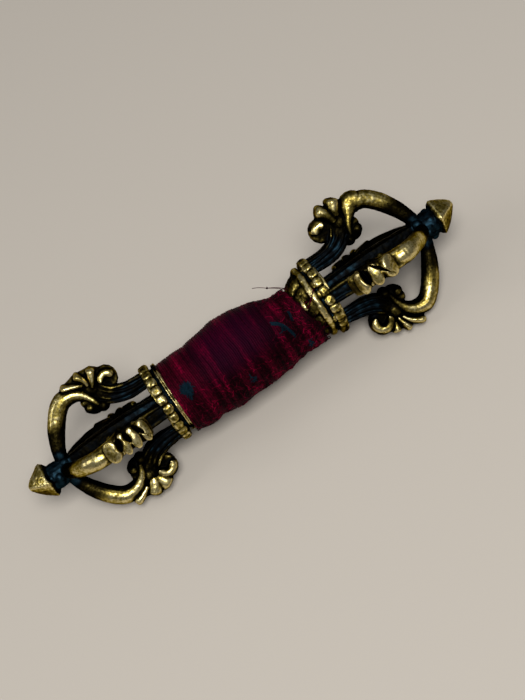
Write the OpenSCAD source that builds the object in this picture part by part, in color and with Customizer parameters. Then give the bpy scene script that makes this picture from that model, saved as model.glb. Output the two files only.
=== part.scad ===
// Dorje vajra: a double-headed ritual sceptre of brass with a thread-wrapped grip.
// It lies along X and rests on two prongs at each end, with Z up and its centre at the origin.
// Each end has a lotus collar with a pearl ring, a square centre prong with a pyramid tip,
// and four makara prongs that leave the collar and close on the neck below the tip.

/* [Overall] */
// Length from tip to tip
overall_len = 90; // [86:1:110]
// Half the length of the grip between the collars
grip_half_len = 11.6; // [10:0.1:12.6]
// Clearance round every tang, tenon, spigot and ring
seat_clearance = 0.05; // [0.02:0.01:0.1]

/* [Lotus collars] */
// Axial length of the lotus petals
petal_len = 3; // [2.4:0.1:3.6]
// Number of petals round each collar
petal_count = 12; // [8:1:16]
// Radius of the collar at the narrow end of the petals
petal_tip_r = 4.5; // [4:0.1:5]
// Radius of the right collar under the wide end of its petals
right_petal_r = 5.65; // [5.2:0.05:5.9]
// Radius of the left collar under its petals, which the thread covers
left_petal_r = 4.55; // [4.4:0.05:4.6]
// How far the right collar's petals stand out at their wide end
right_petal_proud = 1.35; // [0.9:0.05:1.45]
// How far the left collar's petals stand out at their wide end
left_petal_proud = 0.65; // [0.6:0.05:0.75]
// How far the petals stand out of the collar at their narrow end
petal_tip_proud = 0.6; // [0.3:0.05:0.7]
// How far a petal's narrow end lies in from the collar's back face
petal_inset = 0.3; // [0.2:0.05:0.6]
// Length of the hollow between petals and rib
cove_len = 0.35; // [0.25:0.05:0.5]
// Width of the plain rib
rib_len = 0.8; // [0.6:0.05:1]
// Radius of the plain rib
rib_r = 7.2; // [6.9:0.05:7.8]
// Gap between the rib and the pearl ring
rib_gap = 0.55; // [0.4:0.05:0.7]
// Wall of the boss outside the prongs' sockets
boss_wall = 0.4; // [0.3:0.05:0.6]

/* [Pearl rings] */
// Diameter of one pearl
pearl_d = 1.7; // [1.3:0.05:1.74]
// Number of pearls round the ring
pearl_count = 24; // [16:1:24]
// Wall of the band that carries the pearls
band_wall = 0.9; // [0.7:0.05:1.2]
// Axial width of the band
band_len = 1.6; // [1.3:0.05:1.9]

/* [Centre prongs] */
// Half the width across the flats at the collar
bar_root_flat = 1.65; // [1.4:0.05:1.9]
// Half the width across the flats at the swelling
bar_mid_flat = 2.15; // [1.9:0.05:2.5]
// Half the width across the flats at the neck, where the prongs seat
bar_neck_flat = 1.5; // [1.3:0.05:1.6]
// Radius of the round tang in the collar
tang_r = 1.3; // [1:0.05:1.4]
// Length of the tang
tang_len = 2.6; // [2:0.1:3]
// Radius of the neck block below the tip
neck_r = 2.3; // [2.1:0.05:2.6]
// Length of the neck block
neck_len = 1.7; // [1.3:0.05:2]
// Radius of the spigot that carries the tip
spigot_r = 0.8; // [0.6:0.05:1]
// Length of the spigot
spigot_len = 1.8; // [1.2:0.1:2]

/* [Tips] */
// Length of a tip from its seat to its point
tip_len = 4.6; // [4:0.1:6]
// Half the diagonal of the pyramid's base
tip_half_diagonal = 3.3; // [3:0.05:3.8]
// How far in front of its seat the pyramid is widest
tip_shoulder = 0.9; // [0.7:0.05:1.2]
// Radius that rounds the pyramid's edges
tip_edge_r = 0.35; // [0.25:0.05:0.45]

/* [Makara prongs] */
// Radius from the axis to the middle of a prong's root
root_r = 5.2; // [4.9:0.05:5.4]
// Half thickness of a prong's root, in its own plane
root_half_t = 1.7; // [1.4:0.05:1.85]
// Half width of a prong's root, across its plane
root_half_w = 1.5; // [1.2:0.05:1.7]
// How far the tenon lies in from the middle of the root, so that the collar's boss holds it
tenon_drop = 0.7; // [0.5:0.05:0.8]
// Radius of the tenon in the collar
tenon_r = 0.8; // [0.6:0.05:0.9]
// Length of the tenon
tenon_len = 2; // [1.4:0.1:2.4]
// How far the tenon runs up inside the prong's root
tenon_root = 1; // [0.6:0.1:1.4]
// How far the shank arches out of the collar
shank_lift = 0.3; // [0:0.05:0.5]
// How far the shank dips before it climbs to the fan
shank_dip = 0.3; // [0:0.05:0.5]
// How much thicker and wider the shank is at the fan than at its root
shank_swell = 0.3; // [0.1:0.05:0.5]
// Axial distance from the prong's end at the neck back to the middle of the fan
fan_back = 11.6; // [10.6:0.1:12.4]
// Radius from the axis to the middle of the fan
fan_r = 9; // [8.6:0.1:9.6]
// Angles of the fan's fingers, measured from the tip's direction outwards
finger_angles = [38, 69, 111, 160];
// Lengths of the left prongs' fingers from the middle of the fan
finger_lens = [4.95, 3.45, 3, 3.3];
// How much longer the right prongs' fingers are
right_finger_extra = 0.6; // [0:0.05:0.8]
// Half width of a finger across the prong's plane
finger_half_w = 2.05; // [1.8:0.05:2.3]
// Half thickness of a finger in the prong's plane
finger_half_t = 1.2; // [0.9:0.05:1.3]
// Half width of the web between the fingers
web_half_w = 1.2; // [0.9:0.05:1.4]
// Reach of the web as a share of the fingers' lengths
web_share = 1.1; // [0.9:0.05:1.15]
// Axial distance from the neck back to the elbow
elbow_back = 6.5; // [5.8:0.1:7.2]
// Radius from the axis to the middle of the bar at the elbow
elbow_r = 10.5; // [10.1:0.05:11]
// Half thickness of the bar at the elbow
elbow_half_t = 1.65; // [1.4:0.05:1.8]
// Half width of the bar at the elbow
elbow_half_w = 1.7; // [1.4:0.05:1.9]
// How far the bar's rise from the neck leans back towards the elbow
neck_lean = 0.4; // [0.2:0.05:0.8]
// Axial reach of the elbow's round towards the neck
elbow_lead = 2; // [1.4:0.1:2.6]
// Axial reach of the elbow's round towards the mouth
elbow_trail = 1.4; // [1:0.1:1.8]
// Half thickness of the bar where it meets the neck
neck_half_t = 1; // [0.8:0.05:1.1]
// Half width of the bar where it meets the neck
neck_half_w = 1.2; // [0.9:0.05:1.25]
// Axial distance from the elbow back to the bar's end in the mouth
mouth_back = 4.5; // [4:0.1:5]
// How far the mouth lies inside the elbow
mouth_drop = 4.1; // [3.7:0.05:4.3]
// How far in front of the mouth the hook comes down
hook_lead = 1; // [0.6:0.1:1.4]
// Half thickness of the bar's end, a tongue in the mouth
mouth_half_t = 0.6; // [0.5:0.05:0.9]
// Half thickness of the fan's body behind its fingers
fan_half_t = 2.5; // [2:0.05:2.8]
// Half width of the fan's body, across the prong's plane
fan_half_w = 1.75; // [1.4:0.05:1.9]
// Half thickness of the jaw round the tongue
jaw_half_t = 1.65; // [1.4:0.05:1.8]
// Half width of the jaw, across the prong's plane
jaw_half_w = 1.45; // [1.2:0.05:1.6]
// How far in front of the tongue's end the middle of the jaw lies
jaw_lead = 0.9; // [0.6:0.05:1.1]
// Radius of the two beads at the jaw
jaw_bead_r = 0.9; // [0.7:0.05:1]

/* [Grip] */
// Radius of the spindle
spindle_r = 2.5; // [2:0.1:3]
// Chamfer on the spindle's ends
spindle_chamfer = 0.3; // [0.1:0.05:0.5]
// Depth of the spindle's socket in each collar
spindle_seat = 2.6; // [2:0.1:3]
// Radius of the hub at its middle
hub_r = 5.2; // [4.6:0.1:5.6]
// Radius of the hub at its ends
hub_end_r = 3.4; // [3.1:0.1:3.8]
// Length of the hub
hub_len = 14; // [10:0.5:16]

/* [Thread] */
// Radius of the packing where it meets the left collar's rib
packing_left_r = 6.25; // [6.15:0.05:6.5]
// Radius of the packing at its swelling
packing_swell_r = 6.9; // [6.5:0.05:7.4]
// Radius of the packing at the right collar
packing_right_r = 5.2; // [4.9:0.05:5.6]
// Where the swelling lies, from the middle of the grip
packing_swell_x = -3; // [-5:0.5:0]
// Diameter of the outer thread
thread_d = 0.62; // [0.5:0.01:0.64]
// Gap between the outer thread and the packing
thread_lift = 0.06; // [0.04:0.01:0.1]
// Number of turns of the outer thread
turns = 24; // [12:1:24]
// Axial room left free at each end of the winding
winding_margin = 0.65; // [0.6:0.05:0.9]
// Radius of the bend where the thread dives into the packing
tuck_bend_r = 0.5; // [0.45:0.05:0.55]
// Diameter of a scrap of blue thread
scrap_d = 0.4; // [0.3:0.02:0.5]
// Diameter of the largest scrap, a flat round spot
spot_d = 2.1; // [1.6:0.1:2.4]

/* [Hidden] */

BRASS = [0.66, 0.52, 0.24];
OLD_BRASS = [0.5, 0.4, 0.2];
MAROON = [0.36, 0.03, 0.1];
CRIMSON = [0.5, 0.04, 0.14];
TEAL = [0.05, 0.2, 0.28];

// Turns about the axis that carry a prong from straight up to its place
FRONT_UPPER = 45;
REAR_UPPER = -45;
REAR_LOWER = -135;
FRONT_LOWER = 135;

// A hair by which joined solids reach into each other
past = 0.01;
// Length by which a cutter runs past an open face
overcut = 1;

// Axial stations of one end, from the grip out to the tip
cove_x = grip_half_len + petal_len;
rib_x = cove_x + cove_len;
gap_x = rib_x + rib_len;
seat_x = gap_x + rib_gap;
face_x = seat_x + band_len + 2 * seat_clearance;
half_len = overall_len / 2;
tip_x = half_len - tip_len;
neck_x = tip_x - seat_clearance - neck_len;
prong_x = neck_x - seat_clearance - neck_half_t;
root_x = face_x + seat_clearance;
fan_x = prong_x - fan_back;
elbow_x = prong_x - elbow_back;
mouth_x = elbow_x - mouth_back;

// Radii of the collar's boss and of what sits on it
tenon_at_r = root_r - tenon_drop;
boss_r = tenon_at_r + tenon_r + seat_clearance + boss_wall;
band_in_r = boss_r + seat_clearance;
band_out_r = band_in_r + band_wall;

// Curves
function lerp(a, b, t) = a + (b - a) * t;
function ease(t) = (1 - cos(180 * t)) / 2;
function bezier(p, t) =
    p[0] * pow(1 - t, 3) + 3 * p[1] * t * pow(1 - t, 2) + 3 * p[2] * t * t * (1 - t) + p[3] * pow(t, 3);
function bezier_way(p, t) =
    unit((p[1] - p[0]) * pow(1 - t, 2) + 2 * (p[2] - p[1]) * t * (1 - t) + (p[3] - p[2]) * t * t);
function unit(v) = v / norm(v);

// One oval ring of points across a path: at is its centre, way the path's direction,
// across the direction that the half width lies along
function ring(at, way, across, half_t, half_w, sides) =
    let (normal = cross(across, way))
    [for (i = [0 : sides - 1])
        let (a = 360 * i / sides)
        at + normal * half_t * cos(a) + across * half_w * sin(a)];

// A solid through a list of rings, closed with a fan of triangles at each end
module loft(rings) {
    n = len(rings[0]);
    last = len(rings) - 1;
    points = [for (r = rings) each r];
    walls = [for (i = [0 : last - 1], j = [0 : n - 1])
        let (a = i * n + j, b = i * n + (j + 1) % n)
        each [[a, a + n, b], [b, a + n, b + n]]];
    start_cap = [for (j = [1 : n - 2]) [0, j, j + 1]];
    end_cap = [for (j = [1 : n - 2]) [last * n, last * n + j + 1, last * n + j]];
    polyhedron(points = points, faces = concat(walls, start_cap, end_cap));
}

// Lays a shape that was turned about Z along X
module along_x() {
    rotate([0, 90, 0])
        children();
}

// Puts one end's shape on the right, or mirrored on the left
module on_end(left) {
    mirror([left ? 1 : 0, 0, 0])
        children();
}

// Lotus collar: petals that flare from the grip, a hollow, a plain rib and the boss with its sockets
module lotus_collar(petal_r, petal_proud) {
    difference() {
        union() {
            along_x()
                rotate_extrude($fn = 72)
                    collar_outline(petal_r);
            for (i = [0 : petal_count - 1])
                rotate([360 * i / petal_count, 0, 0])
                    petal(petal_r, petal_proud);
        }
        translate([grip_half_len - petal_len, 0, 0])
            along_x()
                cylinder(h = petal_len + spindle_seat, r = spindle_r + seat_clearance, $fn = 48);
        translate([face_x - tang_len - seat_clearance, 0, 0])
            along_x()
                cylinder(h = tang_len + overcut, r = tang_r + seat_clearance, $fn = 48);
        for (turn = [FRONT_UPPER, REAR_UPPER, REAR_LOWER, FRONT_LOWER])
            rotate([turn, 0, 0])
                translate([face_x - tenon_len - seat_clearance, 0, tenon_at_r])
                    along_x()
                        cylinder(h = tenon_len + overcut, r = tenon_r + seat_clearance, $fn = 32);
    }
}

// Half section of the collar, with the radius along X and the axis along Y
module collar_outline(petal_r) {
    rib_round = rib_len / 2;
    rib_core_r = rib_r - rib_round;
    polygon(concat(
        [[0, grip_half_len], [petal_tip_r, grip_half_len], [petal_r, cove_x], [petal_r, rib_x]],
        [for (a = [-90 : 22.5 : 90])
            [rib_core_r + rib_round * cos(a), rib_x + rib_round + rib_round * sin(a)]],
        [[band_out_r, gap_x], [band_out_r, seat_x], [boss_r, seat_x], [boss_r, face_x], [0, face_x]]
    ));
}

// One petal: a cone lying in the flare
module petal(petal_r, petal_proud) {
    slope = atan2(petal_r - petal_tip_r, petal_len);
    run = petal_len / cos(slope);
    translate([grip_half_len, 0, petal_tip_r])
        rotate([0, 90 - slope, 0])
            translate([0, 0, petal_inset])
                cylinder(h = run - petal_inset, r1 = petal_tip_proud, r2 = petal_proud, $fn = 32);
}

// Pearl ring: a band that slides over the boss, set with pearls
module pearl_ring() {
    from_x = seat_x + seat_clearance;
    translate([from_x, 0, 0])
        along_x()
            difference() {
                cylinder(h = band_len, r = band_out_r, $fn = 96);
                translate([0, 0, -overcut])
                    cylinder(h = band_len + 2 * overcut, r = band_in_r, $fn = 96);
            }
    for (i = [0 : pearl_count - 1])
        rotate([360 * i / pearl_count, 0, 0])
            translate([from_x + band_len / 2, 0, band_out_r])
                sphere(d = pearl_d, $fn = 32);
}

// Centre prong: a square bar with a swelling, its flats towards the four prongs
module centre_prong() {
    rotate([45, 0, 0])
        intersection() {
            bar_side();
            rotate([90, 0, 0])
                bar_side();
        }
    translate([face_x - tang_len, 0, 0])
        along_x()
            cylinder(h = tang_len + seat_clearance + past, r = tang_r, $fn = 48);
    translate([neck_x, 0, 0])
        along_x()
            cylinder(h = neck_len, r = neck_r, $fn = 48);
    translate([neck_x, 0, 0])
        along_x()
            cylinder(h = neck_len + spigot_len, r = spigot_r, $fn = 48);
}

// One pair of the bar's flats, drawn as a side view and pulled across the bar
module bar_side() {
    flats = [for (t = [0 : 1 / 12 : 1]) [lerp(root_x, prong_x - neck_half_t, t), bar_flat(t)]];
    upper = concat(flats, [[neck_x + past, bar_neck_flat]]);
    lower = [for (i = [len(upper) - 1 : -1 : 0]) [upper[i][0], -upper[i][1]]];
    translate([0, 0, -2 * bar_mid_flat])
        linear_extrude(height = 4 * bar_mid_flat)
            polygon(concat(lower, upper));
}

// Half width of the bar at a share t of the way from the collar to the neck
function bar_flat(t) =
    lerp(bar_root_flat, bar_neck_flat, t)
    + (bar_mid_flat - (bar_root_flat + bar_neck_flat) / 2) * sin(180 * t);

// Tip: a four-sided pyramid with rounded edges, its corners in line with the prongs
module tip() {
    corner = tip_half_diagonal - tip_edge_r;
    difference() {
        hull() {
            translate([tip_x, 0, 0])
                along_x()
                    cylinder(h = tip_edge_r, r = neck_r, $fn = 24);
            for (turn = [45 : 90 : 315])
                rotate([turn, 0, 0])
                    translate([tip_x + tip_shoulder, 0, corner])
                        sphere(r = tip_edge_r, $fn = 12);
            translate([half_len - tip_edge_r, 0, 0])
                sphere(r = tip_edge_r, $fn = 12);
        }
        translate([tip_x - overcut, 0, 0])
            along_x()
                cylinder(h = overcut + spigot_len + 2 * seat_clearance,
                    r = spigot_r + seat_clearance, $fn = 48);
    }
}

// A point in a prong's own plane, from its axial place and its radius
function in_plane(x, r) = [x, 0, r];
ACROSS = [0, 1, 0];

// A rounded pad, half_t thick in the prong's plane and half_w wide across it
module pad(x, r, half_t, half_w) {
    translate(in_plane(x, r))
        scale([half_t, half_w, half_t])
            rotate([90, 0, 0])
                sphere(r = 1, $fn = 8);
}

// Makara prong: a bar that rises from the neck, turns at the elbow and ends in the mouth of a makara,
// whose mane is a fan of fingers and whose neck is the shank that stands on the collar
module makara_prong(finger_extra) {
    prong_bar();
    prong_shank();
    fan_body();
    fan_web(finger_extra);
    for (i = [0 : len(finger_angles) - 1])
        finger(finger_angles[i], finger_lens[i] + finger_extra);
    translate([face_x - tenon_len, 0, tenon_at_r])
        along_x()
            cylinder(h = tenon_len + tenon_root, r = tenon_r, $fn = 16);
}

// The body behind the fingers, and the jaw with its two beads that holds the bar's end
module fan_body() {
    mouth_r = elbow_r - mouth_drop;
    bead_w = jaw_half_w + jaw_bead_r / 4;
    hull() {
        pad(fan_x, fan_r + fan_half_t / 3, fan_half_t, fan_half_w);
        pad(mouth_x + jaw_lead, mouth_r + jaw_bead_r / 3, jaw_half_t, jaw_half_w);
    }
    pad(mouth_x + 2 * jaw_bead_r, mouth_r + jaw_bead_r / 3, jaw_bead_r, bead_w);
    pad(mouth_x - jaw_bead_r / 2, mouth_r - 0.8 * jaw_bead_r, jaw_bead_r, bead_w);
}

// The web that fills the fan between its fingers, nearly up to their ends
module fan_web(finger_extra) {
    ends = [for (i = [0 : len(finger_angles) - 1])
        let (reach = web_share * (finger_lens[i] + finger_extra))
        [fan_x + reach * cos(finger_angles[i]), fan_r + reach * sin(finger_angles[i])]];
    rotate([90, 0, 0])
        linear_extrude(height = 2 * web_half_w, center = true)
            polygon(concat([[fan_x, fan_r - fan_half_t / 2]], ends));
}

// The bar from the neck over the elbow into the mouth, as two curves that meet at the elbow
module prong_bar() {
    rise = [
        in_plane(prong_x, bar_neck_flat + seat_clearance),
        in_plane(prong_x - neck_lean, lerp(bar_neck_flat, elbow_r, 0.33)),
        in_plane(elbow_x + elbow_lead, elbow_r),
        in_plane(elbow_x, elbow_r)
    ];
    hook = [
        in_plane(elbow_x, elbow_r),
        in_plane(elbow_x - elbow_trail, elbow_r),
        in_plane(mouth_x + hook_lead, elbow_r - 0.3 * mouth_drop),
        in_plane(mouth_x, elbow_r - mouth_drop)
    ];
    sides = 8;
    rise_rings = [for (t = [0 : 1 / 9 : 1 - past])
        ring(bezier(rise, t), t == 0 ? [0, 0, 1] : bezier_way(rise, t), ACROSS,
            lerp(neck_half_t, elbow_half_t, ease(min(1, 1.6 * t))),
            lerp(neck_half_w, elbow_half_w, t), sides)];
    hook_rings = [for (t = [0 : 1 / 6 : 1 + past])
        ring(bezier(hook, t), bezier_way(hook, t), ACROSS,
            lerp(elbow_half_t, mouth_half_t, t * t), lerp(elbow_half_w, root_half_w, t), sides)];
    loft(concat(rise_rings, hook_rings));
}

// The shank from the collar up into the middle of the fan
module prong_shank() {
    path = [
        in_plane(root_x, root_r),
        in_plane(lerp(root_x, fan_x, 0.35), root_r + shank_lift),
        in_plane(lerp(root_x, fan_x, 0.65), root_r - shank_dip),
        in_plane(fan_x, fan_r)
    ];
    loft([for (t = [0 : 1 / 7 : 1 + past])
        ring(bezier(path, t), t == 0 ? [1, 0, 0] : bezier_way(path, t), ACROSS,
            root_half_t + shank_swell * t, root_half_w + shank_swell * t * t, 8)]);
}

// One finger of the fan: thin at its root, thick and wide at its end
module finger(angle, length) {
    shares = [0.3, 0.65, 1];
    sizes = [0.7, 0.92, 1];
    for (i = [0, 1])
        hull()
            for (k = [i, i + 1])
                pad(fan_x + length * shares[k] * cos(angle), fan_r + length * shares[k] * sin(angle),
                    finger_half_t * sizes[k], finger_half_w * sizes[k]);
}

// Spindle: the rod that runs through the hub into both collars
module grip_spindle() {
    length = 2 * (grip_half_len + spindle_seat - seat_clearance);
    end_r = spindle_r - spindle_chamfer;
    color(OLD_BRASS)
        along_x()
            rotate_extrude($fn = 72)
                polygon([
                    [0, -length / 2], [end_r, -length / 2], [spindle_r, spindle_chamfer - length / 2],
                    [spindle_r, length / 2 - spindle_chamfer], [end_r, length / 2], [0, length / 2]
                ]);
}

// Hub: the barrel in the middle of the grip
module grip_hub() {
    color(OLD_BRASS)
        difference() {
            hub_barrel(0);
            translate([-hub_len, 0, 0])
                along_x()
                    cylinder(h = 2 * hub_len, r = spindle_r + seat_clearance, $fn = 72);
        }
}

// The hub's outer form, grown all round by a clearance
module hub_barrel(grown) {
    half = hub_len / 2;
    along_x()
        rotate_extrude($fn = 72)
            polygon(concat(
                [[0, -half - grown]],
                [for (t = [-1 : 0.125 : 1])
                    [lerp(hub_end_r, hub_r, cos(90 * t)) + grown, t * (half + grown)]],
                [[0, half + grown]]
            ));
}

// Thread packing: the under-layers, wound over hub and spindle and up over the left collar's petals
left_end_x = -rib_x + seat_clearance;
right_end_x = grip_half_len - seat_clearance;
function packing_r(x) =
    x < packing_swell_x
    ? lerp(packing_left_r, packing_swell_r, ease((x - left_end_x) / (packing_swell_x - left_end_x)))
    : lerp(packing_swell_r, packing_right_r, ease((x - packing_swell_x) / (right_end_x - packing_swell_x)));

module thread_packing() {
    steps = 24;
    color(MAROON)
        difference() {
            along_x()
                rotate_extrude($fn = 72)
                    polygon(concat(
                        [[0, left_end_x]],
                        [for (i = [0 : steps])
                            let (x = lerp(left_end_x, right_end_x, i / steps))
                            [packing_r(x), x]],
                        [[0, right_end_x]]
                    ));
            hub_barrel(seat_clearance);
            translate([-overall_len / 2, 0, 0])
                along_x()
                    cylinder(h = overall_len, r = spindle_r + seat_clearance, $fn = 72);
            left_collar_room();
            for (end = [winding_start, winding_end])
                tuck_pocket(end);
        }
}

// Room for the left collar inside the packing
module left_collar_room() {
    room = seat_clearance + left_petal_proud;
    mirror([1, 0, 0])
        along_x()
            rotate_extrude($fn = 72)
                polygon([
                    [0, grip_half_len - seat_clearance],
                    [petal_tip_r + petal_tip_proud + seat_clearance, grip_half_len - seat_clearance],
                    [left_petal_r + room, cove_x], [left_petal_r + room, rib_x + overcut],
                    [0, rib_x + overcut]
                ]);
}

// Winding: the outer thread as one tube, wound from left to right, its ends tucked into the packing
winding_start = left_end_x + winding_margin;
winding_end = right_end_x - winding_margin;
rings_a_turn = 24;
function wound_r(x) = packing_r(x) + thread_lift + thread_d / 2;
function round_axis(x, r, a) = [x, r * cos(a), r * sin(a)];
helix = [for (i = [0 : turns * rings_a_turn])
    let (x = lerp(winding_start, winding_end, i / (turns * rings_a_turn)))
    round_axis(x, wound_r(x), 360 * i / rings_a_turn)];

// Points of a tucked end, from the winding down into the packing: side is -1 at the start, 1 at the end
function tuck(x, side) = concat(
    [for (a = [30 : 30 : 90]) [x, wound_r(x) - tuck_bend_r * (1 - cos(a)), side * tuck_bend_r * sin(a)]],
    [[x, wound_r(x) - tuck_bend_r - thread_d, side * tuck_bend_r]]
);
start_tuck = tuck(winding_start, -1);
end_tuck = tuck(winding_end, 1);
route = concat([for (i = [len(start_tuck) - 1 : -1 : 0]) start_tuck[i]], helix, end_tuck);
function route_way(i) =
    i == 0 ? unit(route[1] - route[0])
    : i == len(route) - 1 ? unit(route[i] - route[i - 1])
    : unit(unit(route[i + 1] - route[i]) + unit(route[i] - route[i - 1]));

// Least gap of the winding to itself, between points a turn apart
winding_gap = min([for (i = [0 : len(helix) - 1 - rings_a_turn / 2],
    j = [i + rings_a_turn / 2 : min(i + 3 * rings_a_turn / 2, len(helix) - 1)])
    norm(helix[i] - helix[j])]) - thread_d;
echo(winding_least_gap = winding_gap);

module thread_winding() {
    color(CRIMSON)
        loft([for (i = [0 : len(route) - 1])
            let (way = route_way(i), normal = unit(cross(way, [1, 0, 0])))
            ring(route[i], way, cross(way, normal), thread_d / 2, thread_d / 2, 6)]);
}

// Pocket in the packing that takes one tucked end of the thread
module tuck_pocket(x) {
    side = x == winding_start ? -1 : 1;
    pocket_r = thread_d / 2 + tuck_bend_r;
    deep = tuck_bend_r + thread_d + thread_lift;
    translate([x, wound_r(x) - deep, side * tuck_bend_r])
        rotate([-90, 0, 0])
            cylinder(h = 2 * deep, r = pocket_r, $fn = 32);
}

// Scraps of blue thread that lie on the winding: shares of the packing's length and angles about the axis
spot = [0.104, 127];
strand = [[0.783, 116], [0.821, 122], [0.843, 129], [0.858, 138], [0.87, 148], [0.874, 154]];
curl = [[0.93, 114], [0.93, 120], [0.925, 126], [0.919, 132]];
function scrap_x(place) = lerp(left_end_x, right_end_x, place[0]);
function scrap_r(x) = wound_r(x) + thread_d / 2 + thread_lift + scrap_d / 2;

module blue_thread_scraps() {
    color(TEAL) {
        rotate([spot[1], 0, 0])
            translate([scrap_x(spot), scrap_r(scrap_x(spot)), 0])
                rotate([-90, 0, 0])
                    cylinder(d = spot_d, h = scrap_d, $fn = 32);
        scrap(strand);
        scrap(curl);
    }
}

// One scrap as a tube over its places
module scrap(places) {
    line = [for (p = places) round_axis(scrap_x(p), scrap_r(scrap_x(p)), p[1])];
    last = len(line) - 1;
    loft([for (i = [0 : last])
        let (way = unit(line[min(i + 1, last)] - line[max(i - 1, 0)]), normal = unit(cross(way, [1, 0, 0])))
        ring(line[i], way, cross(way, normal), scrap_d / 2, scrap_d / 2, 6)]);
}

module left_lotus_collar() { color(BRASS) on_end(true) lotus_collar(left_petal_r, left_petal_proud); }
module right_lotus_collar() { color(BRASS) on_end(false) lotus_collar(right_petal_r, right_petal_proud); }
module left_pearl_ring() { color(BRASS) on_end(true) pearl_ring(); }
module right_pearl_ring() { color(BRASS) on_end(false) pearl_ring(); }
module left_centre_prong() { color(OLD_BRASS) on_end(true) centre_prong(); }
module right_centre_prong() { color(OLD_BRASS) on_end(false) centre_prong(); }
module left_tip() { color(BRASS) on_end(true) tip(); }
module right_tip() { color(BRASS) on_end(false) tip(); }

// One prong, turned about the axis to its place on its end
module placed_prong(left, turn) {
    color(BRASS)
        on_end(left)
            rotate([turn, 0, 0])
                makara_prong(left ? 0 : right_finger_extra);
}
module left_front_upper_prong() { placed_prong(true, FRONT_UPPER); }
module left_rear_upper_prong() { placed_prong(true, REAR_UPPER); }
module left_rear_lower_prong() { placed_prong(true, REAR_LOWER); }
module left_front_lower_prong() { placed_prong(true, FRONT_LOWER); }
module right_front_upper_prong() { placed_prong(false, FRONT_UPPER); }
module right_rear_upper_prong() { placed_prong(false, REAR_UPPER); }
module right_rear_lower_prong() { placed_prong(false, REAR_LOWER); }
module right_front_lower_prong() { placed_prong(false, FRONT_LOWER); }

grip_spindle();
grip_hub();
left_lotus_collar();
right_lotus_collar();
left_pearl_ring();
right_pearl_ring();
left_centre_prong();
right_centre_prong();
left_tip();
right_tip();
left_front_upper_prong();
left_rear_upper_prong();
left_rear_lower_prong();
left_front_lower_prong();
right_front_upper_prong();
right_rear_upper_prong();
right_rear_lower_prong();
right_front_lower_prong();
thread_packing();
thread_winding();
blue_thread_scraps();
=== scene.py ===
# %% [markdown]
# # A dorje vajra with a thread-wound grip
# A dorje is a small double-headed sceptre. Each head is a cage of four curved prongs round a
# square bar, cast in brass that has gone dark in its hollows and is rubbed bright where hands
# reach. The grip between the heads is wound with red sewing thread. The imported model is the
# fixed frame: every shape below is built round it, in the same place and at the same size.

# %% Load the frame
import math
import random

import bmesh
import bpy
import numpy as np
from mathutils import Matrix, Vector, noise


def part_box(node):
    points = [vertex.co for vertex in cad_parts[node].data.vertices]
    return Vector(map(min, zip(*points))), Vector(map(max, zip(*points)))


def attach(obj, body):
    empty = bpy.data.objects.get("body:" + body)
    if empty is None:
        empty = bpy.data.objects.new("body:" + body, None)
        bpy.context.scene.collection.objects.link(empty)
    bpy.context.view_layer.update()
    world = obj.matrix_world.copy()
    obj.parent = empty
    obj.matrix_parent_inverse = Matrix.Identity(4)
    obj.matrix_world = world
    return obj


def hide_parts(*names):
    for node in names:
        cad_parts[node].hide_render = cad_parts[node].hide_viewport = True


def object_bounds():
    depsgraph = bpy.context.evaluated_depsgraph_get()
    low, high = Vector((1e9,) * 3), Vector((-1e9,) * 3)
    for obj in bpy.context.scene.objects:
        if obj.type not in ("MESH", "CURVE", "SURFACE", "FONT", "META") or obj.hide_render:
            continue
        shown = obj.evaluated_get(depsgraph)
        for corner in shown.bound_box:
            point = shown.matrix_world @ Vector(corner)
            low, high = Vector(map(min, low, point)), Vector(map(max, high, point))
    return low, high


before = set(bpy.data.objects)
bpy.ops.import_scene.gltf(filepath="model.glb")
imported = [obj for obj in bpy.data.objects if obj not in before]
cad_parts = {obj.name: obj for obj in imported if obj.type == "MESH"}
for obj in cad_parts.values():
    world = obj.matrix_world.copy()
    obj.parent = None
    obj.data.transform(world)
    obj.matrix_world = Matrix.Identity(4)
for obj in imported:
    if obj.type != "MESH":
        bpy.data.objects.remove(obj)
cad_low, cad_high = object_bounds()
print("CAD box in metres:", [round(x, 4) for x in cad_high - cad_low])

# %% [markdown]
# ## Stations
# Blender works in metres, but a piece this small is easier to think of in millimetres. So all
# shapes are modelled in millimetres, and a finished mesh is brought to metres at the end. The
# stations along one head are read from the frame, and the places inside a prong are measured
# back from where its bar closes on the neck.

# %% Stations along one head
MM = 0.001


def reach(node):
    """Lowest and highest corner of a CAD node, in millimetres."""
    low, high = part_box(node)
    return low / MM, high / MM


collar_low, collar_high = reach("right_lotus_collar")
ring_low, ring_high = reach("right_pearl_ring")
tip_low, tip_high = reach("right_tip")
PETAL_X, FACE_X = collar_low.x, collar_high.x
TIP_X, POINT_X = tip_low.x, tip_high.x
PEARL_R = ring_high.z
# Where a prong meets the neck, then its fan, elbow and mouth, and the root of its shank
PRONG_X = TIP_X - 2.8
FAN_X, FAN_R = PRONG_X - 11.6, 9.0
ELBOW_X, ELBOW_R = PRONG_X - 6.5, 10.4
MOUTH_X, MOUTH_R = FAN_X + 0.6, FAN_R - 2.6
ROOT_R = 5.4
print(f"collar {PETAL_X:.1f} to {FACE_X:.1f}, neck {PRONG_X:.1f}, tip {TIP_X:.1f} to {POINT_X:.1f} mm")

# %% [markdown]
# ## Camera
# The camera comes first, because every later choice is judged through it. Its place, aim, roll
# and lens repeat the view from above and in front, with the right head turned up.

# %% Camera
CAMERA_PLACE = Vector((-8.28, -152.84, 219.12))
CAMERA_AIM = Vector((2.49, -1.72, -1.05))
CAMERA_ROLL = math.radians(-30.7)
LENS_MM = 77.89

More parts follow.
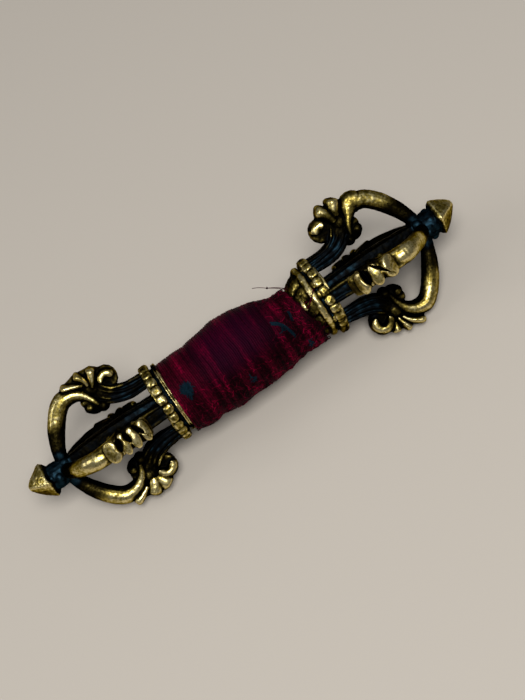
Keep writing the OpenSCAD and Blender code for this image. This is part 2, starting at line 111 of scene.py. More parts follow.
camera_data = bpy.data.cameras.new("camera")
camera_data.lens = LENS_MM
camera_data.sensor_width = 36
camera_data.clip_start = 10 * MM
camera = bpy.data.objects.new("camera", camera_data)
look = (CAMERA_AIM - CAMERA_PLACE).to_track_quat("-Z", "Y").to_matrix().to_4x4()
camera.matrix_world = Matrix.Translation(CAMERA_PLACE * MM) @ look @ Matrix.Rotation(CAMERA_ROLL, 4, "Z")
bpy.context.collection.objects.link(camera)
bpy.context.scene.camera = camera
bpy.context.scene.view_settings.view_transform = "Standard"
print(f"camera {CAMERA_PLACE.length:.0f} mm away, lens {LENS_MM} mm")

# %% [markdown]
# ## Materials as small graphs
# A material is a graph of nodes. Building one in code is a row of near-equal steps, so one short
# helper makes a node, sets its options and links or fills its sockets.

# %% Node helpers


def add_node(tree, kind, inputs=None, **options):
    """Makes a node; inputs holds values or output sockets by input name or number."""
    made = tree.nodes.new(kind)
    for name, value in options.items():
        setattr(made, name, value)
    for name, value in (inputs or {}).items():
        if isinstance(value, bpy.types.NodeSocket):
            tree.links.new(value, made.inputs[name])
        else:
            made.inputs[name].default_value = value
    return made


def new_material(name):
    """An empty material with its Principled shader, as (material, tree, shader)."""
    material = bpy.data.materials.new(name)
    material.use_nodes = True
    tree = material.node_tree
    tree.nodes.clear()
    shader = add_node(tree, "ShaderNodeBsdfPrincipled")
    add_node(tree, "ShaderNodeOutputMaterial", {"Surface": shader.outputs["BSDF"]})
    return material, tree, shader


def combine(tree, operation, first, second):
    """One Math node, clamped to 0 and 1."""
    made = add_node(tree, "ShaderNodeMath", {0: first, 1: second}, operation=operation, use_clamp=True)
    return made.outputs[0]


def blend_of(tree, share, first, second):
    """A colour between two colours."""
    inputs = {0: share, 6: first, 7: second}
    return add_node(tree, "ShaderNodeMix", inputs, data_type="RGBA").outputs[2]


print("node helpers ready")

# %% Pattern helpers


def ramp_of(tree, value, stops):
    """A colour ramp through stops of (position, colour)."""
    made = add_node(tree, "ShaderNodeValToRGB", {"Fac": value})
    elements = made.color_ramp.elements
    while len(elements) < len(stops):
        elements.new(1.0)
    for element, (position, colour) in zip(elements, stops):
        element.position = position
        element.color = (*colour, 1.0)
    return made.outputs["Color"]


def level_of(tree, value, low, high, low_to=0.0, high_to=1.0):
    """A value that runs from low_to to high_to while the input runs from low to high."""
    inputs = {"Value": value, "From Min": low, "From Max": high, "To Min": low_to, "To Max": high_to}
    return add_node(tree, "ShaderNodeMapRange", inputs).outputs["Result"]


def noise_of(tree, scale, detail=2.0, roughness=0.5):
    """A cloud pattern on Object coordinates, with scale in patches per metre."""
    coordinates = add_node(tree, "ShaderNodeTexCoord").outputs["Object"]
    inputs = {"Vector": coordinates, "Scale": scale, "Detail": detail, "Roughness": roughness}
    return add_node(tree, "ShaderNodeTexNoise", inputs).outputs["Fac"]


def painted(tree, name):
    """A number that the vertices carry under a name."""
    return add_node(tree, "ShaderNodeAttribute", attribute_name=name).outputs["Fac"]


def add_bump(tree, shader, strength, depth, height):
    """Fine relief in the shading only, with its depth in millimetres."""
    inputs = {"Strength": strength, "Distance": depth * MM, "Height": height}
    bump = add_node(tree, "ShaderNodeBump", inputs)
    tree.links.new(bump.outputs["Normal"], shader.inputs["Normal"])


print("pattern helpers ready")

# %% [markdown]
# ## Antique brass
# Old brass is three things at once: bare yellow metal where it is rubbed, an olive to brown skin
# where it isn't, and blue-black patina in the deepest places and where the heads were brazed.
# A noise pattern alone would put wear anywhere. Here each vertex carries two numbers that are
# worked out from the shape itself, wear with painted light and shade in it, and patina, and noise
# only breaks up their edges.

# %% Antique brass
BRASS_STOPS = [
    (0.0, (0.0015, 0.0013, 0.0008)),
    (0.25, (0.010, 0.0075, 0.002)),
    (0.45, (0.055, 0.041, 0.009)),
    (0.64, (0.175, 0.130, 0.027)),
    (0.82, (0.41, 0.315, 0.07)),
    (1.0, (0.80, 0.67, 0.31)),
]
PATINA_STOPS = [
    (0.15, (0.001, 0.0011, 0.0012)),
    (0.35, (0.0026, 0.0034, 0.0042)),
    (0.62, (0.010, 0.027, 0.040)),
]


def antique_brass():
    material, tree, shader = new_material("antique_brass")
    patina = painted(tree, "patina")
    blotch = noise_of(tree, 420, 4.0, 0.6)
    cloud = noise_of(tree, 900, 3.0, 0.55)
    grain = noise_of(tree, 3200, 2.0)
    coordinates = add_node(tree, "ShaderNodeTexCoord").outputs["Object"]
    cells = add_node(tree, "ShaderNodeTexVoronoi", {"Vector": coordinates, "Scale": 1500})
    pits = cells.outputs["Distance"]

    # The wear number carries painted light and shade as well as wear
    worn_and_lit = painted(tree, "wear_and_light")
    breakup = level_of(tree, blotch, 0.3, 0.7, -0.19, 0.17)
    speckle = level_of(tree, grain, 0.3, 0.7, -0.11, 0.10)
    pit_shade = level_of(tree, pits, 0.08, 0.22, -0.36, 0.0)
    for shade in (breakup, speckle, pit_shade):
        worn_and_lit = combine(tree, "ADD", worn_and_lit, shade)
    metal = ramp_of(tree, worn_and_lit, BRASS_STOPS)

    ragged = combine(tree, "ADD", patina, level_of(tree, blotch, 0.3, 0.7, -0.35, 0.35))
    crust = level_of(tree, ragged, 0.35, 0.62)
    bloom = combine(tree, "MULTIPLY", cloud, level_of(tree, patina, 0.45, 0.95, 0.4, 1.0))
    colour = blend_of(tree, crust, metal, ramp_of(tree, bloom, PATINA_STOPS))
    tree.links.new(colour, shader.inputs["Base Color"])
    shader.inputs["Metallic"].default_value = 1.0
    shader.inputs["Specular Tint"].default_value = (0.30, 0.27, 0.17, 1.0)
    tree.links.new(level_of(tree, worn_and_lit, 0.1, 0.9, 0.48, 0.32), shader.inputs["Roughness"])

    pitted = level_of(tree, pits, 0.05, 0.22)
    relief = combine(tree, "MULTIPLY", pitted, level_of(tree, grain, 0.2, 0.8, 0.55, 1.0))
    add_bump(tree, shader, 0.3, 0.03, relief)
    return material


brass = antique_brass()
print("made", brass.name)

# %% [markdown]
# ## Sweeping a bar
# Most of a prong is bars that bend and swell: the arm, the shank, the ribs. A curve with a
# bevel could draw them, but its section stays round. Extruding a ring of edges from station to
# station, and moving each new ring to its place, lets the section be squarish and change size.

# %% Curves
ACROSS = Vector((0.0, 1.0, 0.0))


def plane(x, r, across=0.0):
    """A point of an upright prong from its axial place, its radius and its side step."""
    return Vector((x, across, r))


def bezier(corners, t):
    a, b, c, d = corners
    s = 1 - t
    return a * s**3 + b * (3 * t * s**2) + c * (3 * t**2 * s) + d * t**3


def lerp(a, b, t):
    return a + (b - a) * t


def steps(count):
    """Shares from 0 to 1."""
    return [i / count for i in range(count + 1)]


print("curve helpers ready")

# %% Sweeps
CLOSE_FROM = 0.8


def edges_of(verts):
    return list({edge for vert in verts for edge in vert.link_edges})


def grow(shape, loop):
    """Extrudes a loop of edges and returns the new ring of vertices and its loop of edges."""
    grown = bmesh.ops.extrude_edge_only(shape, edges=loop)["geom"]
    ring = [g for g in grown if isinstance(g, bmesh.types.BMVert)]
    return ring, [g for g in grown if isinstance(g, bmesh.types.BMEdge) and set(g.verts) <= set(ring)]


def sweep(shape, path, sizes, sides=16, power=2.0):
    """Pulls a ring along a path; sizes gives half thickness and half width, power its squareness."""
    ring = bmesh.ops.create_circle(shape, segments=sides, radius=1)["verts"]
    for vert in ring:
        vert.co *= (abs(vert.co.x) ** power + abs(vert.co.y) ** power) ** (-1 / power)
    loop = edges_of(ring)
    first_loop, last, before = loop, len(path) - 1, Matrix.Identity(4)
    for i, (at, (thick, wide)) in enumerate(zip(path, sizes)):
        if i:
            ring, loop = grow(shape, loop)
        way = (path[min(i + 1, last)] - path[max(i - 1, 0)]).normalized()
        columns = [ACROSS.cross(way) * thick, ACROSS * wide, way]
        after = Matrix.Translation(at) @ Matrix(columns).transposed().to_4x4()
        bmesh.ops.transform(shape, matrix=after @ before.inverted(), verts=ring)
        before = after
    bmesh.ops.holes_fill(shape, edges=first_loop + loop, sides=sides)


def plume(shape, corners, root, widest):
    """A rib of a fan along a curve: it swells from root to widest and rounds off after CLOSE_FROM."""
    path, sizes = [], []
    for t in steps(16):
        swell = math.sin(min(t / CLOSE_FROM, 1.0) * math.pi / 2)
        close = math.sqrt(1 - (max(0.0, t - CLOSE_FROM) / (1 - CLOSE_FROM)) ** 2)
        path.append(bezier(corners, t))
        sizes.append([max(0.06, lerp(root[k], widest[k], swell) * close) for k in (0, 1)])
    sweep(shape, path, sizes, sides=20, power=2.3)


def cushion(shape, place, power=2.0):
    """A unit ball at a place; a power over 2 makes it squarer, like a worn block."""
    ball = bmesh.ops.create_uvsphere(shape, u_segments=20, v_segments=14, radius=1)["verts"]
    for vert in ball:
        vert.co *= sum(abs(c) ** power for c in vert.co) ** (-1 / power)
    bmesh.ops.transform(shape, matrix=place, verts=ball)


def pad(shape, at, thick, wide):
    """A rounded lump of wax, from its half thickness in the prong's plane and half width across it."""
    cushion(shape, Matrix.Translation(at) @ Matrix.Diagonal((thick, wide, thick, 1.0)))


print("sweep helpers ready")

# %% [markdown]
# ## From pattern to casting
# A lost-wax casting has no seams: wax coils are pressed together, and the metal fills them as one
# skin. The Remesh modifier does the same to overlapping shapes. A few rounds of smoothing let the
# joins flow, and a little noise along the normals gives the uneven skin of cast and filed metal.

# %% Casting skin
GRAIN_MM = 0.1


def rows_of(mesh, what):
    """The places ("co") or normals ("normal") of a mesh's vertices, one row each."""
    flat = np.zeros(len(mesh.vertices) * 3)
    mesh.vertices.foreach_get(what, flat)
    return flat.reshape(-1, 3)


def move_to(mesh, points):
    """Puts a mesh's vertices at new places, one row each."""
    mesh.vertices.foreach_set("co", points.ravel())
    mesh.update()


def skin(shape, name, grain=GRAIN_MM, rounds=3):
    """Melts the overlapping shapes of a bmesh into one smooth skin and returns its mesh."""
    bmesh.ops.recalc_face_normals(shape, faces=shape.faces[:])
    rough = bpy.data.meshes.new(name + "_pattern")
    shape.to_mesh(rough)
    shape.free()
    pattern = bpy.data.objects.new(name + "_pattern", rough)
    bpy.context.collection.objects.link(pattern)
    remesh = pattern.modifiers.new("skin", "REMESH")
    remesh.mode = "VOXEL"
    remesh.voxel_size = grain
    flow = pattern.modifiers.new("flow", "SMOOTH")
    flow.factor = 0.5
    flow.iterations = rounds
    depsgraph = bpy.context.evaluated_depsgraph_get()
    mesh = bpy.data.meshes.new_from_object(pattern.evaluated_get(depsgraph))
    bpy.data.objects.remove(pattern)
    bpy.data.meshes.remove(rough)
    mesh.name = name
    return mesh


def roughen(mesh, seed, waves=0.06, lumps=0.03):
    """Moves a mesh along its normals by slow waves and small lumps, both in millimetres."""
    points, normals = rows_of(mesh, "co"), rows_of(mesh, "normal")
    shift = Vector((seed * 7.3, seed * 3.1, seed * 5.7))
    heights = [waves * noise.noise(Vector(p) * 0.45 + shift) + lumps * noise.noise(Vector(p) * 1.9 + shift)
               for p in points]
    move_to(mesh, points + normals * np.array(heights)[:, None])


print(f"casting skin {GRAIN_MM} mm")

# %% [markdown]
# ## Wear and painted light
# A relaxed copy of a surface lies above its hollows and below its edges, so the distance to it tells
# where a thumb or a cloth would rub. Three copies, each more relaxed, catch small, middling and wide
# forms. Faces turned to the overhead light are painted lighter. What lies deep in a cage or faces into
# it gets painted shade as well as patina, whatever its form, and the shanks and the brazed neck stay
# dark with patina. Wear with its painted light and shade, and patina, are kept on the vertices, where
# the brass reads them.

# %% Relaxed copies
# Rounds of relaxing, and the depth in millimetres that counts as a full hollow after them
RELAXING = ((8, 0.05), (32, 0.22), (120, 0.70))


def relaxed(points, ends, rounds):
    """Points moved to the mean of their neighbours, round after round."""
    count = len(points)
    degree = np.bincount(ends.ravel(), minlength=count)[:, None]
    for _ in range(rounds):
        total = [np.bincount(ends[:, 0], points[ends[:, 1], k], count)
                 + np.bincount(ends[:, 1], points[ends[:, 0], k], count) for k in range(points.shape[1])]
        points = np.stack(total, axis=1) / degree
    return points


def ramp(values, low, high):
    """Runs smoothly from 0 at low to 1 at high."""
    t = np.clip((values - low) / (high - low), 0, 1)
    return t * t * (3 - 2 * t)


def fade(values, low, high):
    """Runs smoothly from 1 at low to 0 at high."""
    return 1 - ramp(values, low, high)


def paint(mesh, name, values):
    """Keeps one number for each vertex under a name that a material can read."""
    layer = mesh.attributes.new(name, "FLOAT", "POINT")
    layer.data.foreach_set("value", np.clip(values, 0, 1).astype(np.float32))


print("three copies of a surface, relaxed", [rounds for rounds, _ in RELAXING], "rounds more")

# %% Measuring wear and painted light
# The way the overhead light comes from: faces turned to it are painted lighter in the wear, and faces
# turned away darker
TOWARD_LIGHT = np.array((0.0, -0.50, 0.87))
# What each kind of dark place takes from the wear and adds to the patina: deep and inner are painted shade
# as well as patina, sunk is painted shade in a fan and patina in a collar's groove, shank and neck are
# patina
DARKENING = {"deep": (0.46, 0.30), "inner": (0.45, 0.16), "shank": (0.34, 0.22),
             "neck": (0.5, 0.85), "sunk": (0.5, 0.15)}


def paint_wear_light_and_patina(mesh, wear_and_light_shift=0.0, patina_shift=0.0, sunk=0.0, blued=0.0, cage_from=FACE_X):
    """Paints wear with painted light and shade in it, and patina, on a mesh that is in place, in
    millimetres:
    sunk marks extra darkening, which is painted shade in a prong's fan and patina in a collar's groove,
    blued adds patina to the shanks, and cage_from is where the cage begins."""
    points, normals = rows_of(mesh, "co"), rows_of(mesh, "normal")
    pairs = np.zeros(len(mesh.edges) * 2, dtype=np.int32)
    mesh.edges.foreach_get("vertices", pairs)
    ends = pairs.reshape(-1, 2)
    copy, hollow = points, 0.0
    for rounds, depth in RELAXING:
        copy = relaxed(copy, ends, rounds)
        hollow = hollow + ((copy - points) * normals).sum(axis=1) / depth
    hollow = relaxed(hollow[:, None], ends, 3)[:, 0]
    along, radius = np.abs(points[:, 0]), np.hypot(points[:, 1], points[:, 2])
    outward = (normals[:, 1:] * points[:, 1:]).sum(axis=1) / np.maximum(radius, 0.5)
    caged = ramp(along, cage_from - 0.4, cage_from + 0.4) * fade(along, TIP_X - 0.2, TIP_X + 0.2)
    neck = ramp(along, TIP_X - 4.8, TIP_X - 3.2) * fade(along, TIP_X + 0.1, TIP_X + 1.5)
    # Painted shade with patina: deep marks what lies deep in a cage, inner the faces turned into it
    places = {
        "deep": caged * fade(radius, 6.2, 8.6),
        "inner": caged * fade(outward, -0.65, 0.05),
        "shank": caged * fade(along, FAN_X - 3.0, FAN_X - 0.6) * fade(radius, 7.9, 9.2),
        "neck": neck * fade(radius, 2.6, 4.4),
        "sunk": sunk,
    }
    # Painted light: faces turned to the overhead light get more wear, faces turned away less
    facing_light = ramp(normals @ TOWARD_LIGHT, 0.0, 0.95) - 0.6
    wear_and_light = 0.55 + wear_and_light_shift + 0.42 * facing_light - 0.40 * hollow * (1 - 0.6 * places["deep"])
    patina = patina_shift + 0.22 * np.clip(hollow, 0, 1) + blued * places["shank"]
    for name, (from_wear, to_patina) in DARKENING.items():
        wear_and_light = wear_and_light - from_wear * places[name]
        patina = patina + to_patina * places[name]
    paint(mesh, "wear_and_light", wear_and_light)
    paint(mesh, "patina", patina)


print(len(DARKENING), "kinds of dark place")

# %% [markdown]
# ## Handing a piece over
# A piece is built for the right head, and half a turn brings it to the left one. Its mesh is then
# brought to metres, gets its material and takes the place of its CAD node in the frame.

# %% Handing over


def half_turn(side):
    """Brings a shape built for the right head to the left head, by half a turn about Z."""
    return Matrix.Rotation(math.pi if side == "left" else 0.0, 4, "Z")


def finish_piece(mesh, name, material, slot, *nodes):
    """Brings a mesh to metres, makes its object and hands it to the frame."""
    mesh.transform(Matrix.Scale(MM, 4))
    mesh.materials.clear()
    mesh.materials.append(material)
    mesh.polygons.foreach_set("use_smooth", [True] * len(mesh.polygons))
    piece = bpy.data.objects.new(name, mesh)
    bpy.context.collection.objects.link(piece)
    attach(piece, "root")
    if nodes:
        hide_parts(*nodes)
    return piece


def for_both_heads(make, first_seed):
    """Makes one brass piece for each head and prints its size."""
    for seed, side in enumerate(("left", "right"), first_seed):
        piece = make(side, seed)
        print(piece.name, len(piece.data.polygons), "faces")


print("finished pieces ride on root")

# %% [markdown]
# ## Makara prongs
# Each prong is a stylised makara, a water beast: its neck is the shank that stands on the collar,
# its mane a fan of ribs with a curl at the back, and out of its jaws comes the arm that bends at the
# elbow and closes on the neck below the tip. The arm and the shank come first. Both are sweeps, and
# thin wavy strands along the sides of the shank leave flutes between them.

# %% Arm and shank
# Half thickness and half width of the arm at the neck, the elbow and the mouth
ARM_NECK, ARM_ELBOW, ARM_MOUTH = (1.2, 1.3), (1.65, 1.75), (0.72, 1.8)
# Where strands run on each side of a shank, from its outer to its inner edge
LANES = (-1.25, -0.42, 0.40, 1.22)


def prong_arm(shape, lift, swell):
    """The bar from the neck over the elbow to a tongue in the mouth; lift moves the elbow outwards, and
    swell thickens its outer side just behind the elbow."""
    elbow = ELBOW_R + lift
    rise = [plane(PRONG_X, 1.2), plane(PRONG_X - 0.4, 4.4),
            plane(ELBOW_X + 2.2, elbow), plane(ELBOW_X, elbow)]
    hook = [plane(ELBOW_X, elbow), plane(ELBOW_X - 1.9, elbow + 0.1),
            plane(MOUTH_X + 0.8, FAN_R + 0.6 + lift), plane(MOUTH_X, MOUTH_R)]
    path, sizes = [], []
    for t in steps(18)[:-1]:
        ease = (1 - math.cos(math.pi * min(1.0, 1.6 * t))) / 2
        path.append(bezier(rise, t))
        sizes.append((lerp(ARM_NECK[0], ARM_ELBOW[0], ease), lerp(ARM_NECK[1], ARM_ELBOW[1], t)))
    for t in steps(14):
        bulge = swell * math.sin(math.pi * min(1.0, 1.7 * t))
        thick = lerp(ARM_ELBOW[0], ARM_MOUTH[0], t ** 1.2) + bulge
        path.append(bezier(hook, t) + plane(0, bulge))
        sizes.append((thick, lerp(ARM_ELBOW[1], ARM_MOUTH[1], t)))
    sweep(shape, path, sizes, sides=20, power=2.15)


def prong_shank(shape, chance):
    """The fluted neck from the collar up to the fan: a stout core and wavy strands on each side."""
    corners = [plane(FACE_X - 1.3, ROOT_R), plane(FACE_X + 2.0, ROOT_R + 0.2),
               plane(FAN_X - 2.4, ROOT_R - 0.5), plane(FAN_X - 0.2, FAN_R - 0.4)]
    path = [bezier(corners, t) for t in steps(14)]
    sizes = [(1.25 + 0.6 * t, 1.4 + 0.2 * t - 1.2 * max(0.0, t - 0.75)) for t in steps(14)]
    sweep(shape, path, sizes, power=2.6)
    for side in (-1, 1):
        for lane in LANES:
            phase, wave = chance.uniform(0, math.tau), chance.uniform(0.08, 0.18)
            half = chance.uniform(0.3, 0.42)
            strand, sizes = [], []
            for t in steps(18):
                way = bezier(corners, min(1.0, t + 0.02)) - bezier(corners, max(0.0, t - 0.02))
                normal = ACROSS.cross(way.normalized())
                drift = lane * (0.8 + 0.4 * t) + wave * math.sin(6.0 * t + phase)
                sunk = max(0.0, t - 0.8) / 0.2
                out = 1.16 + 0.2 * t - 0.08 * lane * lane - 0.6 * sunk
                strand.append(bezier(corners, t) + normal * drift + ACROSS * side * out)
                sizes.append((half * (1 - 0.3 * sunk), 0.4))
            sweep(shape, strand, sizes, sides=12)


print("arm and", 2 * len(LANES), "strands on a shank")

# %% [markdown]
# ## Fans
# A fan is a web with ribs that stand proud of it, so that dark hollows lie between them, and a curl
# behind. One list of ribs could serve all fans, but a hand shaped each wax, so each fan has its own
# ribs and curl. The web is a plate with a bevelled rim, and the ribs and the curl are sweeps.

# %% Places of the ribs
# Each fan as (ribs, curl, dark, rim): a rib is its root, a place on its way, its end and its half thickness
# at both; the curl is its middle, the radius of its eye, its half thickness and the angles where it starts
# and stops; dark is how far painted shade reaches from the root, and rim the reach of the web
FANS = {
    "left_front_upper": (
        [((1.6, 1.4), (2.3, 2.6), (2.7, 3.6), 1.1, 1.35),
         ((0.0, 1.0), (0.0, 2.4), (0.0, 3.7), 0.7, 0.85),
         ((-1.6, 1.0), (-1.8, 2.4), (-1.95, 3.6), 0.8, 0.9),
         ((-3.2, 0.6), (-3.8, 1.8), (-4.2, 2.7), 0.8, 0.9)],
        ((-3.7, 0.3), 0.1, 0.7, -0.4, 4.1), 2.5, 0.8),
    "left_rear_upper": (
        [((1.0, 1.8), (2.9, 2.6), (4.85, 3.2), 0.45, 0.72),
         ((0.3, 1.2), (0.6, 2.7), (1.7, 4.0), 0.5, 0.8),
         ((-0.15, 0.5), (-0.95, 1.95), (-1.7, 3.75), 0.5, 1.0)],
        ((-3.05, 0.3), 0.25, 0.9, 0.1, 3.1), 2.5, 1.0),
    "left_front_lower": (
        [((1.7, 1.5), (3.35, 2.4), (5.2, 3.05), 0.6, 0.95),
         ((-0.05, 0.7), (0.4, 1.9), (1.6, 4.0), 0.95, 1.5),
         ((-0.6, 0.9), (-1.15, 2.2), (-1.9, 3.85), 1.0, 1.55)],
        ((-2.95, 0.3), 0.25, 1.05, -0.1, 3.4), 2.0, 0.9),
    "right_front_upper": (
        [((1.0, 1.5), (1.7, 2.8), (2.3, 3.7), 1.3, 1.6),
         ((-0.6, 1.5), (-0.8, 2.6), (-1.0, 3.8), 0.9, 1.1),
         ((-2.7, 1.0), (-3.3, 2.4), (-4.0, 3.3), 0.9, 1.15)],
        ((-4.0, 0.5), 0.1, 0.7, -0.4, 4.1), 2.5, 0.8),
    "right_rear_upper": (
        [((0.2, 1.6), (0.5, 3.1), (1.3, 4.8), 0.95, 1.35),
         ((-0.55, 0.9), (-1.3, 2.9), (-2.75, 4.2), 0.85, 1.35)],
        ((-3.4, 0.6), 0.02, 1.2, 0.9, 2.9), 4.2, 0.86),
    "right_front_lower": (
        [((0.55, 1.9), (1.9, 3.6), (4.2, 4.7), 0.5, 0.8),
         ((-0.3, 1.7), (0.25, 3.4), (0.9, 4.8), 0.45, 0.75),
         ((-1.1, 2.0), (-1.4, 3.0), (-1.6, 4.0), 0.5, 0.9)],
        ((-2.9, 0.7), 0.35, 1.05, -0.2, 4.1), 4.4, 0.93),
}
# The lowest prongs lie behind the bar and keep a low mane
FANS["left_rear_lower"] = FANS["right_rear_lower"] = (
    [((1.0, 1.0), (2.9, 1.6), (4.8, 2.2), 0.45, 0.72),
     ((0.3, 0.8), (0.6, 1.8), (1.5, 2.9), 0.5, 0.9),
     ((-0.15, 0.5), (-0.8, 1.6), (-1.5, 2.6), 0.5, 1.0)],
    ((-2.9, 0.0), 0.4, 0.65, -0.4, 4.0), 2.5, 0.95)
# Half widths of the ribs and the web, and how far a deep web goes on the side that looks up
RIB_WIDE, WEB_WIDE, WEB_DEEP = 2.05, 1.6, 0.85
print(len(FANS), "fans with", sum(len(fan[0]) for fan in FANS.values()), "ribs")

# %% Fans and jaws
# Lumps of the jaw as (place along, place out, half thickness, half width); the last two are beads
JAW = [(1.3, -2.2, 1.85, 1.45), (2.0, -1.2, 1.25, 1.4), (2.1, -2.35, 1.15, 1.9), (0.0, -3.2, 1.2, 1.95)]


def in_fan(x, r, across=0.0):
    """A point of a prong measured from the middle of its fan."""
    return plane(FAN_X + x, FAN_R + r, across)


def slab(shape, outline, low, high):
    """A plate in the prong's plane, from low to high across it, with a rounded rim."""
    verts = [shape.verts.new(in_fan(x, r, low)) for x, r in outline]
    floor = shape.faces.new(verts)
    grown = bmesh.ops.extrude_face_region(shape, geom=[floor])["geom"]
    lifted = [g for g in grown if isinstance(g, bmesh.types.BMVert)]
    bmesh.ops.translate(shape, verts=lifted, vec=ACROSS * (high - low))
    rims = edges_of(lifted + verts)
    rims = [edge for edge in rims if abs(edge.verts[0].co.y - edge.verts[1].co.y) < 0.01]
    bmesh.ops.bevel(shape, geom=rims, offset=0.5, segments=3, profile=0.5, affect="EDGES", material=-1)


def through(start, way, end):
    """Corners of a curve from start to end that passes a place on the way."""
    pull = way * 2 - (start + end) / 2
    return [start, start.lerp(pull, 2 / 3), end.lerp(pull, 2 / 3), end]


def web_outline(ribs, curl, share):
    """The rim of the web: near the ribs' ends, then round the curl and back along the jaw."""
    outline, ends = [(5.4, 2.5)], [Vector(rib[2]) for rib in ribs]
    for end, after in zip(ends, ends[1:] + [None]):
        outline.append(end * share)
        if after:
            outline.append(end.lerp(after, 0.5) * share)
    (x, r), eye, half, _, _ = curl
    for degrees in range(85, 260, 25):
        angle = math.radians(degrees)
        far = (eye + 2 * half + 0.4 * max(0.0, math.sin(angle))) * share
        outline.append((x + far * math.cos(angle), r + far * math.sin(angle)))
    return outline + [(-1.5, -2.4), (1.0, -1.4), (3.0, 0.8)]


def prong_fan(shape, up, fan, full):
    """The mane: ribs on a web, and a curl at the back. The web lies deep on the side that looks up,
    unless it is full."""
    ribs, curl, _, rim = fan
    upper = WEB_WIDE if full else WEB_DEEP
    slab(shape, web_outline(ribs, curl, rim), *sorted((-WEB_WIDE * up, upper * up)))
    pad(shape, in_fan(0.1, 0.3), 1.9, 1.55)
    for *line, thin, thick in ribs:
        corners = through(*(in_fan(x, r) for x, r in line))
        plume(shape, corners, (thin, RIB_WIDE * 0.85), (thick, RIB_WIDE))
    middle, eye, half, start, stop = curl
    path, sizes = [], []
    for t in steps(24):
        angle, thick = lerp(start, stop, t), half * max(0.2, (1 - abs(2 * t - 1) ** 5) ** 0.5)
        path.append(in_fan(*middle) + plane((eye + half) * math.cos(angle), (eye + half) * math.sin(angle)))
        sizes.append((thick, lerp(RIB_WIDE, 1.8, t)))
    sweep(shape, path, sizes, sides=20, power=2.7)


def prong_jaw(shape):
    """The mass of the jaw between the arm and the shank, with two beads half sunk in it."""
    for x, r, thick, wide in JAW:
        pad(shape, in_fan(x, r), thick, wide)


print(len(JAW), "lumps in a jaw")

# %% [markdown]
# ## Hollows of the fans
# The two fans that face the front have almond hollows between their ribs. A cut would leave sharp
# edges, so they are pressed into the finished skin. Painted shade is marked as sunk in them, and on
# the floors, roots and jaw of every fan.

# %% Hollows
# A hollow's depth, the place across where its place along is given, and the strength of the painted shade
# in it
PIT_DEPTH, PIT_MIDDLE, PIT_PAINTED_SHADE = 1.25, 0.6, 1.6
# Hollows as (place along at PIT_MIDDLE across, slant, half width, both ends across)
PITS = {
    "left_front_upper": [(0.87, -0.19, 0.91, -0.9, 1.8), (-0.92, 0.22, 0.78, -0.4, 2.0),
                         (-3.17, 0.54, 0.715, -0.45, 2.1)],
    "right_front_upper": [(-2.62, -0.06, 1.17, -1.2, 2.5), (0.2, -0.85, 0.468, -0.9, 2.5)],
}


def fan_painted_shade(mesh, up, dark):
    """Marks painted shade on the floors between a fan's ribs, their roots and the jaw, before the prong is
    turned.
    """
    (x, y, z), normals = rows_of(mesh, "co").T, rows_of(mesh, "normal")
    fan = ramp(z, FAN_R - 0.9, FAN_R - 0.2) * fade(x, FAN_X + 4.5, FAN_X + 5.5)
    floors = fan * fade(y * up, 1.1, 1.6) * ramp(normals[:, 1] * up, 0.1, 0.6)
    gaps = fan * fade(z, FAN_R + 2.2, FAN_R + 2.9) * ramp(normals[:, 2], 0.2, 0.6)
    roots = fade(np.hypot(x - FAN_X + 0.9, z - FAN_R + 0.1), 0.4 * dark, dark)
    jaw = fade(np.hypot(x - FAN_X - 1.2, z - FAN_R + 2.8), 1.8, 2.6)
    return np.maximum(np.maximum(floors, gaps), np.maximum(1.05 * roots, 0.4 * jaw))


def carve_pits(mesh, up, pits):
    """Presses almond hollows into the outer side of a fan and returns how deep each vertex lies in one."""
    points, deepest = rows_of(mesh, "co"), 0.0
    across = points[:, 1] * up
    for along, slant, half, low, high in pits:
        taper = np.clip(1 - ((across - (low + high) / 2) / ((high - low) / 2)) ** 2, 0, 1)
        aside = np.abs(points[:, 0] - FAN_X - along - slant * (across - PIT_MIDDLE))
        deepest = np.maximum(deepest, ramp(1 - aside / np.maximum(half * taper, 0.02), 0.0, 0.9))
    deepest = deepest * ramp(points[:, 2], FAN_R + 0.8, FAN_R + 1.8)
    points[:, 2] -= PIT_DEPTH * deepest
    move_to(mesh, points)
    return deepest


print(sum(len(pits) for pits in PITS.values()), "hollows")

# %% [markdown]
# Now the parts come together. A prong is built upright and turned about the axis to its corner.

# %% Eight prongs
PRONG_TURNS = {"front_upper": 45, "rear_upper": -45, "rear_lower": -135, "front_lower": 135}
# Painted light and shade added to each prong's wear: the two lowest prongs at the back are painted dark,
# the upper front ones a little lighter
PRONG_PAINTED_LIGHT = {"left_front_upper": 0.06, "left_rear_upper": -0.05, "left_front_lower": -0.05,
               "right_front_upper": 0.06, "right_rear_upper": -0.12, "right_front_lower": -0.07,
               "left_rear_lower": -0.45, "right_rear_lower": -0.45}
ELBOW_LIFT = {"left_front_lower": -0.4, "right_front_lower": 1.0, "right_rear_upper": 0.15}
ELBOW_SWELL = {"right_rear_upper": 0.65}
SHANK_BLUE = {"left": 0.04, "right": 0.14}
CAGE_X = FACE_X - 1.2


